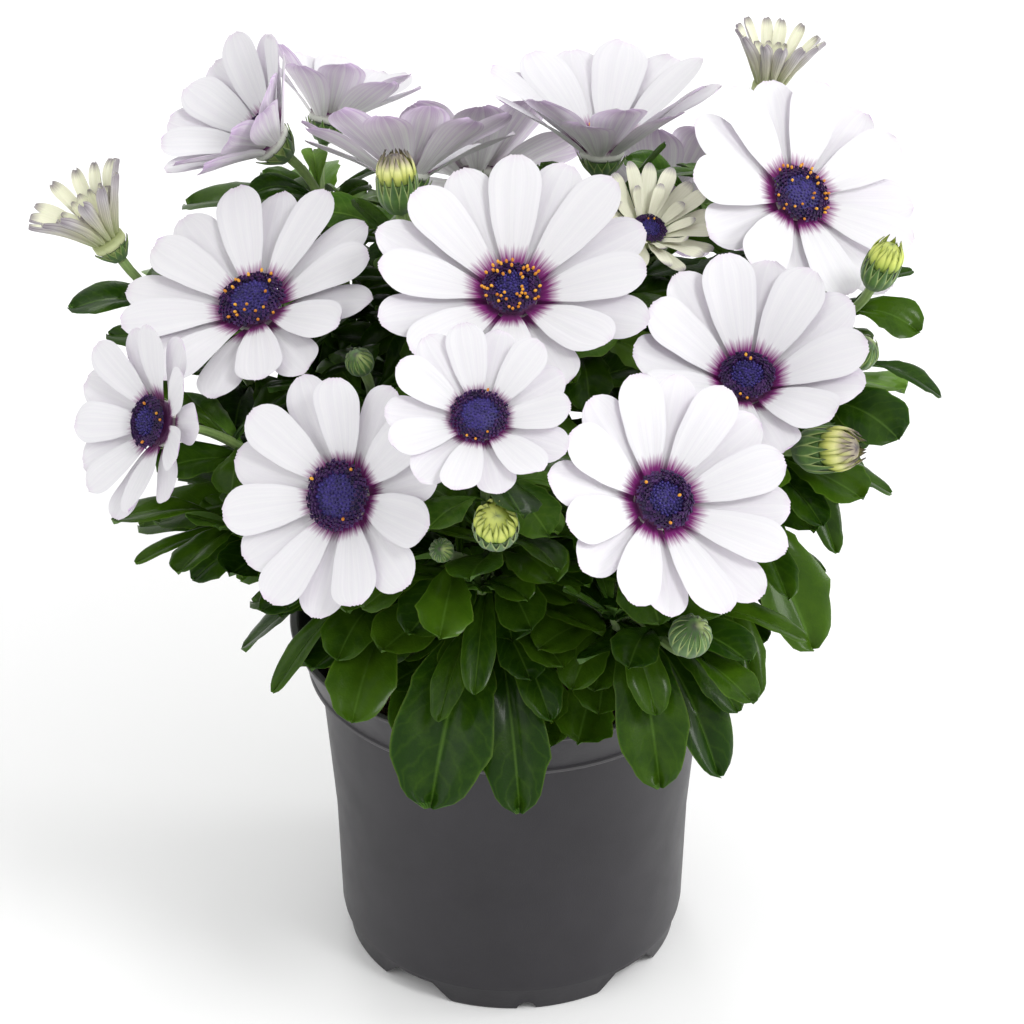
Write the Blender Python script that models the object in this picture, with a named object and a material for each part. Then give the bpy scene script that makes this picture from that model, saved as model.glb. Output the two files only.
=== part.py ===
"""A white osteospermum in its nursery pot. Metres, +Z up, origin at the middle of the pot's underside."""

import math
import random
from collections import namedtuple

import bmesh
import bpy
from mathutils import Matrix, Vector

MM = 0.001
SEED = 11

# Pot, in millimetres
RIM_R = 60.0
POT_H = 100.0
FOOT_R = 45.0
POT_SIDES = 30
GAPS_AT = (54, 136, 234, 316)
NOTCHES_AT = (5, 95, 185, 275)
GAP_H = 5.5
NOTCH_R = 2.6

# Soil and the plain holes the stems stand in
SOIL_TOP = 87.0
ROOT_DEPTH = 12.0
HOLE_GAP = 0.35

# Stems
STEM_R = 2.2
STALK_R = 1.25

# Blooms: the ring the petals grow from, and the blade of a petal
RING_R = 6.6
RING_TOP = 2.1
RING_BOTTOM = -2.0
BUD_BOTTOM = 2.0
BLADE = 0.7
LEAF_BLADE = 0.8
GAP = 0.35
CLEARANCE = 3.1
CELL = 4.0

Head = namedtuple("Head", "name stem kind centre azimuth elevation reach cup count size")

# Stem name: where it leaves the soil, and the fork its stalks grow from
STEMS = {
    "01": ((-3, -30), (-6, -44, 130)),
    "02": ((-22, -22), (-32, -38, 134)),
    "03": ((-38, -8), (-58, -20, 142)),
    "04": ((-38, 14), (-66, 16, 150)),
    "05": ((-18, 2), (-40, 2, 146)),
    "06": ((-26, 34), (-44, 46, 158)),
    "07": ((-6, 20), (-18, 26, 160)),
    "08": ((6, -2), (6, -4, 150)),
    "09": ((12, 36), (28, 44, 160)),
    "10": ((34, 14), (56, 16, 156)),
    "11": ((34, -10), (58, -14, 148)),
    "12": ((20, -32), (28, -44, 126)),
    "13": ((-4, 44), (-8, 60, 132)),
}

# Heads: the middle of the disc, which way it faces, petal reach, cup in degrees, petals in a layer, size
HEADS = (
    Head("01", "08", "open", (0, -20, 214), 270, 62, 39, 26, 8, 1.0),
    Head("02", "05", "open", (-68, 0, 199), 230, 66, 36, 18, 8, 1.0),
    Head("03", "03", "open", (-93, -40, 186), 214, 26, 27, 26, 7, 0.9),
    Head("04", "02", "open", (-44, -72, 184), 236, 32, 32, 20, 7, 1.0),
    Head("05", "01", "open", (-8, -82, 214), 268, 57, 25, 24, 7, 0.8),
    Head("06", "12", "open", (38, -83, 190), 298, 44, 35, 26, 8, 1.0),
    Head("07", "11", "open", (60, -32, 195), 272, 64, 35, 36, 7, 0.95),
    Head("08", "10", "open", (76, 22, 218), 310, 50, 34.5, 16, 7, 0.9),
    Head("09", "09", "open", (24, 52, 219), 90, 80, 37, 40, 7, 0.9),
    Head("10", "07", "open", (-28, 42, 217), 92, 54, 33, 30, 7, 0.9),
    Head("11", "06", "open", (-68, 52, 220), 188, 46, 31, 46, 7, 0.9),
    Head("12", "06", "open", (-49, 92, 207), 60, 62, 28, 42, 6, 0.85),
    Head("13", "08", "cream", (36, 12, 213), 310, 62, 20, 34, 9, 0.6),
    Head("14", "04", "half", (-108, 24, 205), 172, 58, 24, 54, 13, 0.7),
    Head("15", "09", "half", (69, 60, 232), 45, 76, 21, 58, 13, 0.7),
    Head("16", "13", "open", (-10, 112, 177), 92, 34, 33, 18, 6, 1.0),
    Head("17", "13", "open", (44, 92, 178), 62, 26, 32, 18, 6, 0.95),
    Head("18", "07", "bud", (-30, 10, 231), 120, 80, 0, 0, 8, 0.85),
    Head("19", "10", "bud", (96, -10, 217), 340, 70, 0, 0, 8, 0.75),
    Head("20", "11", "bud", (83, -50, 184), 330, 20, 0, 0, 8, 0.95),
    Head("21", "01", "bud", (-4, -90, 188), 270, 50, 0, 0, 8, 0.9),
    Head("22", "11", "green", (92, -20, 198), 330, 60, 0, 0, 8, 0.75),
    Head("23", "01", "green", (-18, -84, 176), 260, 40, 0, 0, 8, 0.5),
    Head("24", "05", "green", (-40, -30, 200), 240, 60, 0, 0, 8, 0.6),
    Head("25", "12", "green", (46, -84, 153), 290, 60, 0, 0, 8, 0.9),
)

# Leafy shoots without a head: stem and tip
SHOOTS = (
    ("12", (26, -62, 142)),
    ("01", (-8, -66, 154)),
    ("03", (-70, -34, 150)),
    ("10", (84, 4, 176)),
)

# Leaves seen in the photo: stem, about where it starts, tip, half width, rise of its arch
LEAVES = (
    ("01", (-5, -44, 127), (-21, -88, 99), 12.0, 14),
    ("01", (3, -44, 124), (2, -86, 96), 8.5, 14),
    ("01", (-5, -50, 138), (-19, -82, 122), 4.0, 6),
    ("01", (-4, -40, 114), (-3, -80, 112), 6.0, 8),
    ("01", (4, -46, 126), (10, -77, 115), 5.5, 8),
    ("02", (-14, -38, 128), (-45, -66, 130), 6.5, 8),
    ("02", (-18, -40, 124), (-41, -78, 119), 8.0, 8),
    ("02", (-36, -44, 136), (-58, -62, 117), 3.5, 7),
    ("02", (-34, -38, 132), (-64, -52, 130), 6.0, 5),
    ("03", (-52, -20, 136), (-84, -30, 131), 5.5, 6),
    ("03", (-66, -28, 146), (-98, -36, 140), 3.0, 4),
    ("03", (-70, -34, 152), (-103, -42, 157), 6.0, 5),
    ("03", (-66, -32, 150), (-86, -54, 149), 5.5, 4),
    ("04", (-62, 6, 156), (-94, -18, 166), 5.0, 4),
    ("04", (-64, 4, 164), (-89, -8, 182), 5.5, 3),
    ("12", (22, -46, 128), (38, -86, 104), 8.5, 14),
    ("12", (30, -44, 126), (54, -74, 99), 8.0, 13),
    ("12", (32, -46, 128), (56, -72, 112), 6.0, 8),
    ("11", (46, -20, 126), (64, -50, 107), 5.0, 9),
    ("11", (48, -16, 124), (74, -38, 110), 5.0, 8),
    ("12", (34, -48, 132), (76, -60, 132), 6.0, 7),
    ("11", (54, -30, 144), (71, -60, 145), 5.0, 6),
    ("11", (56, -22, 140), (82, -32, 112), 10.0, 10),
    ("10", (64, -2, 150), (86, -16, 130), 4.5, 7),
    ("11", (70, -26, 164), (99, -24, 154), 5.0, 5),
    ("10", (66, 0, 156), (92, -8, 142), 6.0, 6),
    ("11", (82, -28, 192), (111, -20, 181), 4.0, 4),
    ("10", (88, -4, 204), (104, 2, 206), 2.5, 2),
    ("12", (26, -50, 134), (13, -72, 122), 6.0, 6),
    ("12", (28, -56, 138), (37, -82, 124), 5.0, 6),
    ("12", (28, -56, 146), (30, -66, 160), 3.2, 1),
    ("01", (-8, -62, 150), (-16, -76, 166), 3.6, 2),
    ("01", (-8, -64, 152), (-30, -74, 162), 3.6, 2),
    ("01", (-6, -64, 152), (4, -80, 158), 4.2, 3),
    ("09", (36, 44, 200), (40, 34, 226), 3.0, 0),
    ("07", (-28, 24, 205), (-36, 4, 214), 3.2, 2),
    ("10", (62, 10, 190), (48, -8, 204), 4.0, 3),
    ("10", (64, 12, 184), (58, -18, 192), 4.0, 4),
)

# Rows of a plain and of a large leaf: share of the length, and how far its teeth widen it
LEAF_ROWS = (
    ((0, 0.36, 0.8, 1), (1, 1.1, 1, 1)),
    ((0, 0.32, 0.56, 0.86, 1), (1, 1, 1.12, 0.95, 1)),
)

# Leaves set by rule, up each stem in a golden-angle spiral
RULE_LEAVES = 3
GOLDEN = math.radians(137.5)


# Outlines: half width at each share of the length
PETAL_OUTLINE = ((0, 0.18), (0.2, 0.52), (0.45, 0.86), (0.7, 1), (0.88, 0.92), (1, 0.55))
LEAF_OUTLINE = ((0, 0.14), (0.2, 0.14), (0.36, 0.48), (0.54, 0.86), (0.72, 1), (0.88, 0.84), (0.96, 0.54), (1, 0.28))


# Layout

def rotation(head):
    """Head to world: its Z is the way the head faces."""
    around, up = math.radians(head.azimuth), math.radians(head.elevation)
    z = Vector((math.cos(up) * math.cos(around), math.cos(up) * math.sin(around), math.sin(up)))
    x = Vector((-math.sin(around), math.cos(around), 0))
    return Matrix((x, z.cross(x), z)).transposed()


def in_head(head, point):
    """A point given from the middle of the petal ring, at full size, in world millimetres."""
    turned = rotation(head)
    return Vector(head.centre) + turned @ (Vector(point) - Vector((0, 0, 5 * head.size)))


def petal_row(head, layer, index, share):
    """Middle, side and face direction of a petal at a share of its length."""
    rng = random.Random(f"{SEED} {head.name} {layer} {index}")
    turn = (index + 0.5 * layer + rng.uniform(-0.05, 0.05)) * math.tau / head.count
    slope = math.radians(head.cup - 4 * layer + rng.uniform(-1.5, 1.5))
    bend = math.radians(rng.uniform(10, 15))
    start = 5.0 * head.size
    length = (head.reach - start) * rng.uniform(0.93, 1.03)
    first = slope + bend / 2
    out = start + length * (math.sin(first) - math.sin(first - bend * share)) / bend
    rise = length * (math.cos(first - bend * share) - math.cos(first)) / bend
    rise += (0.7 - 1.75 * layer) * head.size
    radial = Vector((math.cos(turn), math.sin(turn), 0))
    side = Vector((-math.sin(turn), math.cos(turn), 0))
    now = first - bend * share
    face = Vector((0, 0, 1)) * math.cos(now) - radial * math.sin(now)
    turned = rotation(head)
    middle = in_head(head, radial * out + Vector((0, 0, rise)))
    return middle, turned @ side, turned @ face


def curve_point(a, b, c, d, share):
    rest = 1 - share
    return (a * rest ** 3 + b * 3 * rest * rest * share
            + c * 3 * rest * share * share + d * share ** 3)


def stem_path(name, shares=(0, 0.5, 1.0)):
    """Points from the root, inside its hole, to the fork."""
    root, fork = STEMS[name]
    low = Vector((*root, SOIL_TOP - ROOT_DEPTH))
    top = Vector(fork)
    rise = Vector((0, 0, 1))
    steps = [low]
    start = Vector((*root, SOIL_TOP + 3))
    for share in shares:
        steps.append(curve_point(start, start + rise * 14, top - rise * 12, top, share))
    return steps


def stalk_path(head, steps=3):
    """Points from the stem's fork to the neck of a head."""
    fork = Vector(STEMS[head.stem][1])
    neck = in_head(head, (0, 0, -9 * head.size))
    far = (neck - fork).length
    back = rotation(head) @ Vector((0, 0, -1))
    start = fork + Vector((0, 0, 0.35 * far))
    end = neck + back * 0.3 * far
    return [curve_point(fork, start, end, neck, i / steps) for i in range(steps + 1)]


def shoot_path(stem, tip, steps=2):
    fork = Vector(STEMS[stem][1])
    end = Vector(tip)
    middle = (fork + end) / 2 + Vector((0, 0, -3))
    return [curve_point(fork, middle, middle, end, i / steps) for i in range(steps + 1)]


def paths_of(stem):
    """Every line of a stem: the stem itself, then its stalks and shoots."""
    lines = [stem_path(stem)]
    lines += [stalk_path(head) for head in HEADS if head.stem == stem]
    lines += [shoot_path(name, tip) for name, tip in SHOOTS if name == stem]
    return lines


def nearest(stem, point):
    """The point on any line of a stem that is nearest to one given."""
    best = None
    for line in paths_of(stem):
        for a, b in zip(line, line[1:]):
            along = (b - a)
            share = max(0, min(1, (point - a).dot(along) / along.length_squared))
            spot = a + along * share
            far = (spot - point).length
            if best is None or far < best[0]:
                best = (far, spot)
    return best[1]


def leaf_row(leaf, share):
    """Middle, side and face direction of a leaf at a share of its length."""
    base, tip, arch, roll = leaf["base"], leaf["tip"], leaf["arch"], leaf["roll"]
    top = base.lerp(tip, 0.5) + Vector((0, 0, 2 * arch))
    top.z = max(top.z, base.z + 1.0 if arch > 3 else top.z)
    rest = 1 - share
    middle = base * rest * rest + top * 2 * rest * share + tip * share * share
    along = ((top - base) * rest + (tip - top) * share).normalized()
    flat = Vector((tip.x - base.x, tip.y - base.y, 0))
    if flat.length < 1:
        flat = Vector((0, -1, 0))
    side = Vector((-flat.y, flat.x, 0)).normalized()
    side = Matrix.Rotation(roll, 3, along) @ side
    side = (side - along * side.dot(along)).normalized()
    return middle, side, side.cross(along) * -1


def between(table, share):
    """A value from a table of (share, value) rows, in straight lines between them."""
    for (low, first), (high, last) in zip(table, table[1:]):
        if share <= high:
            return first + (last - first) * (share - low) / (high - low)
    return table[-1][1]


def leaf_width(share):
    """Outline of a leaf: stalk, widening blade, blunt end."""
    return between(LEAF_OUTLINE, share)


class Room:
    """Points of what is placed so far, in cells, to keep later leaves clear of them."""

    def __init__(self):
        self.cells = {}

    def cell(self, point):
        return tuple(int(math.floor(value / CELL)) for value in point)

    def add(self, owner, points):
        for point in points:
            self.cells.setdefault(self.cell(point), []).append((owner, point))

    def free(self, owner, points):
        for point in points:
            i, j, k = self.cell(point)
            for x in (i - 1, i, i + 1):
                for y in (j - 1, j, j + 1):
                    for z in (k - 1, k, k + 1):
                        for other, spot in self.cells.get((x, y, z), ()):
                            if other != owner and (spot - point).length < CLEARANCE:
                                return False
        return True


def blade_points(row_at, width_at, length):
    """Points about 3 mm apart over a blade."""
    rows = max(3, int(length / 2.6))
    points = []
    for row in range(rows + 1):
        middle, side, face = row_at(row / rows)
        half = width_at(row / rows)
        columns = int(half / 1.5) + 1
        for column in range(columns + 1):
            points.append(middle + side * half * (2 * column / columns - 1))
    return points


def head_points(head):
    """Points over every petal of a head, its disc and its cup, or over a bud."""
    points = []
    if head.reach:
        for layer in range(1 if head.kind == "half" else 2):
            for index in range(head.count):
                points += blade_points(
                    lambda share: petal_row(head, layer, index, share),
                    lambda share: petal_half(head) * petal_width(share),
                    head.reach)
    for z in (-8, -5, -2, 1, 4, 7):
        for step in range(6):
            turn = step * math.tau / 6
            radius = (2, 5, 6, 6, 6, 4)[(z + 8) // 3] * head.size
            spot = (radius * math.cos(turn), radius * math.sin(turn), z * head.size)
            points.append(in_head(head, spot))
    return points


def petal_half(head):
    """Half width of a head's petals at their widest."""
    share = {"open": 0.175, "cream": 0.12, "half": 0.085}[head.kind]
    return share * head.reach * (1 if head.kind == "half" else 8 / head.count)


def petal_width(share):
    """Outline of a petal, widest past its middle, with a blunt tip."""
    return between(PETAL_OUTLINE, share)


def line_points(line):
    points = []
    for a, b in zip(line, line[1:]):
        count = max(1, int((b - a).length / 2.5))
        points += [a.lerp(b, i / count) for i in range(count + 1)]
    return points


def over_pot(points):
    """True where every point keeps clear of the rim, the wall and the soil."""
    for point in points:
        radius = math.hypot(point.x, point.y)
        if 50 < radius < 62.5 and point.z < 103:
            return False
        if radius <= 50 and point.z < SOIL_TOP + 3:
            return False
    return True


def leaf_points(leaf):
    length = (leaf["tip"] - leaf["base"]).length + leaf["arch"]
    points = blade_points(
        lambda share: leaf_row(leaf, share), lambda share: leaf["half"] * leaf_width(share), length)
    return points[4:]


def make_leaf(stem, base, tip, half, arch, roll):
    return {"stem": stem, "base": base, "tip": tip, "half": half, "arch": arch, "roll": roll}


def tried_leaf(room, stem, base, tip, half, arch, roll, tries):
    """The first of a leaf's small variations that touches nothing, or None."""
    reach = tip - base
    for turn, lift, size in tries:
        spot = base + Matrix.Rotation(math.radians(turn), 3, "Z") @ (reach * size)
        leaf = make_leaf(stem, base, spot + Vector((0, 0, lift)), half * size, arch, roll)
        points = leaf_points(leaf)
        outer = points[len(points) // 4:]
        if over_pot(points) and room.free(stem, points) and room.free("", outer):
            room.add(stem, points)
            return leaf
    return None


def placed_leaves():
    """Every leaf of the plant, each clear of all that came before it."""
    room = Room()
    for head in HEADS:
        room.add(head.stem, head_points(head))
    for stem in STEMS:
        for line in paths_of(stem):
            room.add(stem, line_points(line))
    leaves = []
    small = [(turn, lift, size) for size in (1, 0.9, 0.8)
             for lift in (0, -4, 4, -8, 8) for turn in (0, 6, -6, 12, -12)]
    for number, (stem, base, tip, half, arch) in enumerate(LEAVES):
        rng = random.Random(f"{SEED} seen {number}")
        start = nearest(stem, Vector(base))
        roll = rng.uniform(-0.25, 0.25)
        leaves.append(tried_leaf(room, stem, start, Vector(tip), half, arch, roll, small))
    wide = [(turn, lift, size) for size in (1, 0.8, 0.62)
            for turn in (0, 20, -20, 40, -40) for lift in (0, -8, 8)]
    for stem in STEMS:
        leaves += rule_leaves(room, stem, wide)
    return [leaf for leaf in leaves if leaf]


def rule_leaves(room, stem, tries):
    """Leaves in a spiral up a stem and its lines."""
    lines = paths_of(stem)
    found = []
    for number in range(RULE_LEAVES):
        rng = random.Random(f"{SEED} rule {stem} {number}")
        line = lines[number % len(lines)]
        spots = line_points(line)
        height = 0.35 + 0.5 * (number / RULE_LEAVES) if line is lines[0] else rng.uniform(0.15, 0.7)
        base = spots[int(height * (len(spots) - 1))]
        turn = number * GOLDEN + rng.uniform(-0.4, 0.4)
        length = rng.uniform(26, 40)
        drop = rng.uniform(-10, 12) - max(0, 150 - base.z) * 0.3
        out = Vector((math.cos(turn), math.sin(turn), 0)) * length
        away = Vector((base.x, base.y, 0))
        tip = base + out + away.normalized() * 8 + Vector((0, 0, drop))
        half = length * rng.uniform(0.14, 0.2)
        found.append(tried_leaf(room, stem, base, tip, half, rng.uniform(3, 7), rng.uniform(-0.3, 0.3), tries))
    return found


# Shapes

def shell(name, points, faces):
    """A closed mesh object from millimetre points, its faces turned outwards."""
    mesh = bpy.data.meshes.new(name)
    mesh.from_pydata([Vector(point) * MM for point in points], [], faces)
    work = bmesh.new()
    work.from_mesh(mesh)
    bmesh.ops.recalc_face_normals(work, faces=work.faces)
    work.to_mesh(mesh)
    work.free()
    return bpy.data.objects.new(name, mesh)


def lofted(name, rings):
    """A closed body through rings of points, its ends filled."""
    count = len(rings[0])
    points = [point for ring in rings for point in ring]
    faces = []
    for row in range(len(rings) - 1):
        for i in range(count):
            j = (i + 1) % count
            a, b = row * count + i, row * count + j
            c, d = b + count, a + count
            faces += [(a, b, c), (a, c, d)]
    last = len(points) - count
    faces += [tuple(range(count)), tuple(range(last, last + count))]
    return shell(name, points, faces)


def round_ring(middle, x, y, radii, sides, turn=0.0):
    """A ring of points about a middle, its radii taken in turn."""
    ring = []
    for i in range(sides):
        angle = turn + i * math.tau / sides
        radius = radii[i % len(radii)]
        ring.append(middle + x * radius * math.cos(angle) + y * radius * math.sin(angle))
    return ring


def tube(name, line, radii, sides):
    """A stem along a line of points."""
    side = Vector((1, 0, 0))
    rings = []
    for i, point in enumerate(line):
        before, after = line[max(0, i - 1)], line[min(len(line) - 1, i + 1)]
        along = (after - before).normalized()
        side = (side - along * side.dot(along)).normalized()
        radius = between(radii, i / (len(line) - 1))
        rings.append(round_ring(point, side, along.cross(side), (radius,), sides))
    return lofted(name, rings)


def blade(name, rows, thick):
    """A thin leaf or petal: its two faces are triangulated alike."""
    columns = len(rows[0][0])
    points = []
    for row, face in rows:
        points += [point + face * thick / 2 for point in row]
        points += [point - face * thick / 2 for point in row]
    faces = []
    step = 2 * columns
    for i in range(len(rows) - 1):
        for j in range(columns - 1):
            a = i * step + j
            b, c, d = a + 1, a + 1 + step, a + step
            faces += [(a, b, c), (a, c, d)]
            low = [corner + columns for corner in (a, b, c, d)]
            faces += [(low[0], low[2], low[1]), (low[0], low[3], low[2])]
        for j in (0, columns - 1):
            a = i * step + j
            faces += [(a, a + step, a + step + columns), (a, a + step + columns, a + columns)]
    for i in (0, len(rows) - 1):
        top = [i * step + j for j in range(columns)]
        faces.append(tuple(top + [corner + columns for corner in reversed(top)]))
    return shell(name, points, faces)


def joined(name, shells):
    """One body from overlapping shells, by a single Boolean union."""
    first, rest = shells[0], shells[1:]
    first.name = name
    bpy.context.scene.collection.objects.link(first)
    if rest:
        helpers = bpy.data.collections.new(name + " repeats")
        bpy.context.scene.collection.children.link(helpers)
        for piece in rest:
            helpers.objects.link(piece)
        union = first.modifiers.new("union", "BOOLEAN")
        union.operation = "UNION"
        union.operand_type = "COLLECTION"
        union.collection = helpers
        union.solver = "MANIFOLD"
        graph = bpy.context.evaluated_depsgraph_get()
        mesh = bpy.data.meshes.new_from_object(first.evaluated_get(graph))
        first.modifiers.clear()
        first.data = mesh
        for piece in rest:
            bpy.data.objects.remove(piece)
        bpy.data.collections.remove(helpers)
    return first


# Plant pieces

def petal_shell(head, layer, index):
    rows = []
    full = layer == 0 and head.kind != "half"
    shares = (0, 0.42, 0.8, 1) if full else (0, 0.66, 1)
    for share in shares:
        middle, side, face = petal_row(head, layer, index, share)
        half = petal_half(head) * petal_width(share)
        rows.append(([middle - side * half, middle + side * half], face))
    return blade("petal", rows, BLADE)


def stacked(head, name, levels, sides, turn=0.0):
    """A body of rings up the axis of a head; each level is (height, radii)."""
    turned = rotation(head)
    x, y = turned.col[0], turned.col[1]
    rings = []
    for height, radii in levels:
        middle = in_head(head, (0, 0, height * head.size))
        rings.append(round_ring(middle, x, y, [r * head.size for r in radii], sides, turn))
    return lofted(name, rings)


def petals(head):
    """A ring with its petals, or the narrow petals of a half-open bloom."""
    levels = ((RING_BOTTOM, (RING_R,)), (RING_TOP, (RING_R,)))
    ring = stacked(head, "ring", levels, head.count, math.pi / head.count)
    pieces = [ring]
    for layer in range(1 if head.kind == "half" else 2):
        pieces += [petal_shell(head, layer, index) for index in range(head.count)]
    return joined(f"bloom_{head.name}_petals", pieces)


def disc(head):
    """The dome of florets, in rows of raised and sunk points."""
    wide = 1.0 if head.cup <= 25 else 0.82
    levels = ((2.5, (4.6 * wide,)), (4.6, (7.4 * wide, 6.6 * wide)), (6.2, (4.8 * wide, 5.6 * wide)), (6.6, (2.0,)))
    return joined(f"bloom_{head.name}_disc", [stacked(head, "disc", levels, 8)])


def cup(head):
    """The green cup under a bloom, with a rim of bracts; it climbs higher on a bud."""
    levels = [(-9, (1.4,)), (-6, (4.6,)), (RING_BOTTOM - GAP / head.size, (6.6, 5.2))]
    if head.kind == "bud":
        levels[2:] = [(-1, (6.0, 5.8)), (BUD_BOTTOM - GAP / head.size, (6.6, 5.6))]
    return stacked(head, "cup", levels, 8)


def rolled_bud(head):
    """The rolled petals of an opening bud."""
    levels = ((BUD_BOTTOM, (4.8,)), (3.4, (5.9, 5.2)), (6.5, (5.4, 4.4)), (9.5, (3.4, 2.4)), (11, (1.2,)))
    return joined(f"bud_{head.name}_petals", [stacked(head, "bud", levels, 8)])


def green_bud(head):
    levels = ((-9, (1.4,)), (-6, (4.6,)), (-0.5, (6.6, 5.4)), (4.8, (2.4,)))
    return stacked(head, "green bud", levels, 8)


def leaf_shell(leaf):
    """A leaf with a folded middle and a few coarse teeth."""
    big = leaf["half"] >= 6
    shares, teeth = LEAF_ROWS[big]
    rows = []
    for share, tooth in zip(shares, teeth):
        middle, side, face = leaf_row(leaf, share)
        half = max(leaf["half"] * leaf_width(share) * tooth, 0.7)
        fold = face * half * 0.16
        row = [middle - side * half + fold, middle + side * half + fold]
        if big:
            row.insert(1, middle - fold)
        rows.append((row, face))
    return blade("leaf", rows, LEAF_BLADE)


def leafy_stem(stem, leaves):
    """A stem with its stalks, shoots, leaves, cups and green buds in one body."""
    lines = paths_of(stem)
    pieces = [tube("stem", lines[0], ((0, STEM_R), (1, 1.7)), 6)]
    pieces += [tube("stalk", line, ((0, 1.6), (0.3, STALK_R), (1, STALK_R)), 5) for line in lines[1:]]
    for head in HEADS:
        if head.stem == stem:
            pieces.append(green_bud(head) if head.kind == "green" else cup(head))
    pieces += [leaf_shell(leaf) for leaf in leaves if leaf["stem"] == stem]
    return joined(f"stem_{stem}", pieces)


# Pot and soil

def turned_body(name, profile, sides):
    """A closed body turned about the pot's axis; the profile is (radius, height), from the axis and back to it."""
    x, y, up = Vector((1, 0, 0)), Vector((0, 1, 0)), Vector((0, 0, 1))
    rings = [round_ring(up * height, x, y, (radius,), sides) for radius, height in profile]
    return lofted(name, rings)


def cut(target, cutter, name):
    """Takes a cutter away from a body; the cutter is removed afterwards."""
    bpy.context.scene.collection.objects.link(cutter)
    less = target.modifiers.new(name, "BOOLEAN")
    less.operation = "DIFFERENCE"
    less.object = cutter
    less.solver = "MANIFOLD"
    graph = bpy.context.evaluated_depsgraph_get()
    mesh = bpy.data.meshes.new_from_object(target.evaluated_get(graph))
    target.modifiers.clear()
    target.data = mesh
    bpy.data.objects.remove(cutter)


def slot(name, outline, turn):
    """A straight cutter through the foot of the pot; the outline is (across, height)."""
    turned = Matrix.Rotation(math.radians(turn), 3, "Z")
    ends = [[turned @ Vector((far, across, height)) for across, height in outline] for far in (34, 50)]
    return lofted(name, ends)


def pot():
    """The pot: flared body, rim band with a rolled lip, feet and a middle boss to stand on."""
    profile = (
        (FOOT_R, 0), (46.0, 7.0), (46.9, 7.6), (48.3, 40.5), (52.2, 84.8),
        (54.4, 86.6), (59.5, 98.8), (RIM_R, POT_H),
        (57.9, POT_H), (52.8, 87.6), (50.6, 84.6), (46.7, 40.5), (45.2, 8.2),
    )
    body = turned_body("pot", profile, POT_SIDES)
    bpy.context.scene.collection.objects.link(body)
    ring_recess(body)
    return body


def ring_recess(body):
    """The hollow under the floor, left with a middle boss, and the gaps between the feet."""
    x, y, up = Vector((1, 0, 0)), Vector((0, 1, 0)), Vector((0, 0, 1))
    rings = [
        round_ring(up * -1.0, x, y, (9.0,), POT_SIDES), round_ring(up * 4.0, x, y, (8.0,), POT_SIDES),
        round_ring(up * 4.0, x, y, (38.0,), POT_SIDES), round_ring(up * -1.0, x, y, (39.0,), POT_SIDES),
    ]
    points = [point for ring in rings for point in ring]
    faces = []
    count = POT_SIDES
    for row in range(4):
        for i in range(count):
            j = (i + 1) % count
            after = (row + 1) % 4
            faces.append((row * count + i, row * count + j, after * count + j, after * count + i))
    cut(body, shell("hollow", points, faces), "hollow")
    for turn in GAPS_AT:
        cut(body, slot("gap", ((-12.5, -1), (12.5, -1), (6, GAP_H), (-6, GAP_H)), turn), "gap between feet")
    arch = [(NOTCH_R * math.cos(i * math.pi / 4), NOTCH_R * math.sin(i * math.pi / 4)) for i in range(5)]
    for turn in NOTCHES_AT:
        cut(body, slot("notch", [(NOTCH_R, -1)] + arch + [(-NOTCH_R, -1)], turn), "notch")


def soil():
    """Potting soil with a low rough top and a plain hole for each stem."""
    rng = random.Random(f"{SEED} soil")
    x, y, up = Vector((1, 0, 0)), Vector((0, 1, 0)), Vector((0, 0, 1))
    sides = 16
    rings = [round_ring(up * height, x, y, (radius,), sides) for radius, height in (
        (44.4, 8.7), (45.9, 40.5), (49.5, 83.0))]
    for radius, height in ((46.5, 87.0), (30.0, 87.4), (10.0, 87.2)):
        ring = round_ring(up * height, x, y, (radius,), sides)
        rings.append([point + up * rng.uniform(-1.0, 0.8) for point in ring])
    body = lofted("soil", rings)
    bpy.context.scene.collection.objects.link(body)
    for root, fork in STEMS.values():
        bottom = Vector((*root, SOIL_TOP - ROOT_DEPTH - 1.0))
        top = Vector((*root, SOIL_TOP + 6))
        hole = [round_ring(point, x, y, (STEM_R + HOLE_GAP + 0.3,), 6) for point in (bottom, top)]
        cut(body, lofted("hole", hole), "hole")
    return body


# Materials and assembly

MATERIALS = {
    "pot": ((0.055, 0.052, 0.06), 0.5),
    "soil": ((0.05, 0.022, 0.012), 0.95),
    "leaf": ((0.035, 0.12, 0.02), 0.4),
    "petal": ((0.9, 0.89, 0.93), 0.6),
    "disc": ((0.06, 0.05, 0.2), 0.7),
    "bud": ((0.6, 0.62, 0.3), 0.6),
}


def material(name, piece):
    """A Principled material of the piece's own."""
    colour, rough = MATERIALS[name]
    made = bpy.data.materials.new(f"{piece.name} {name}")
    made.use_nodes = True
    shader = made.node_tree.nodes["Principled BSDF"]
    shader.inputs["Base Color"].default_value = (*colour, 1)
    shader.inputs["Roughness"].default_value = rough
    piece.data.materials.clear()
    piece.data.materials.append(made)


def finish(piece, slot, home):
    """Puts a piece in the object's collection, with its material."""
    for collection in list(piece.users_collection):
        collection.objects.unlink(piece)
    home.objects.link(piece)
    material(slot, piece)


def main():
    for obj in list(bpy.data.objects):
        bpy.data.objects.remove(obj)
    home = bpy.data.collections.new("potted osteospermum")
    bpy.context.scene.collection.children.link(home)
    leaves = placed_leaves()
    finish(pot(), "pot", home)
    finish(soil(), "soil", home)
    for stem in STEMS:
        finish(leafy_stem(stem, leaves), "leaf", home)
    for head in HEADS:
        if head.kind in ("open", "cream", "half"):
            finish(petals(head), "petal", home)
        if head.kind in ("open", "cream"):
            finish(disc(head), "disc", home)
        if head.kind == "bud":
            finish(rolled_bud(head), "bud", home)


main()
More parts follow.
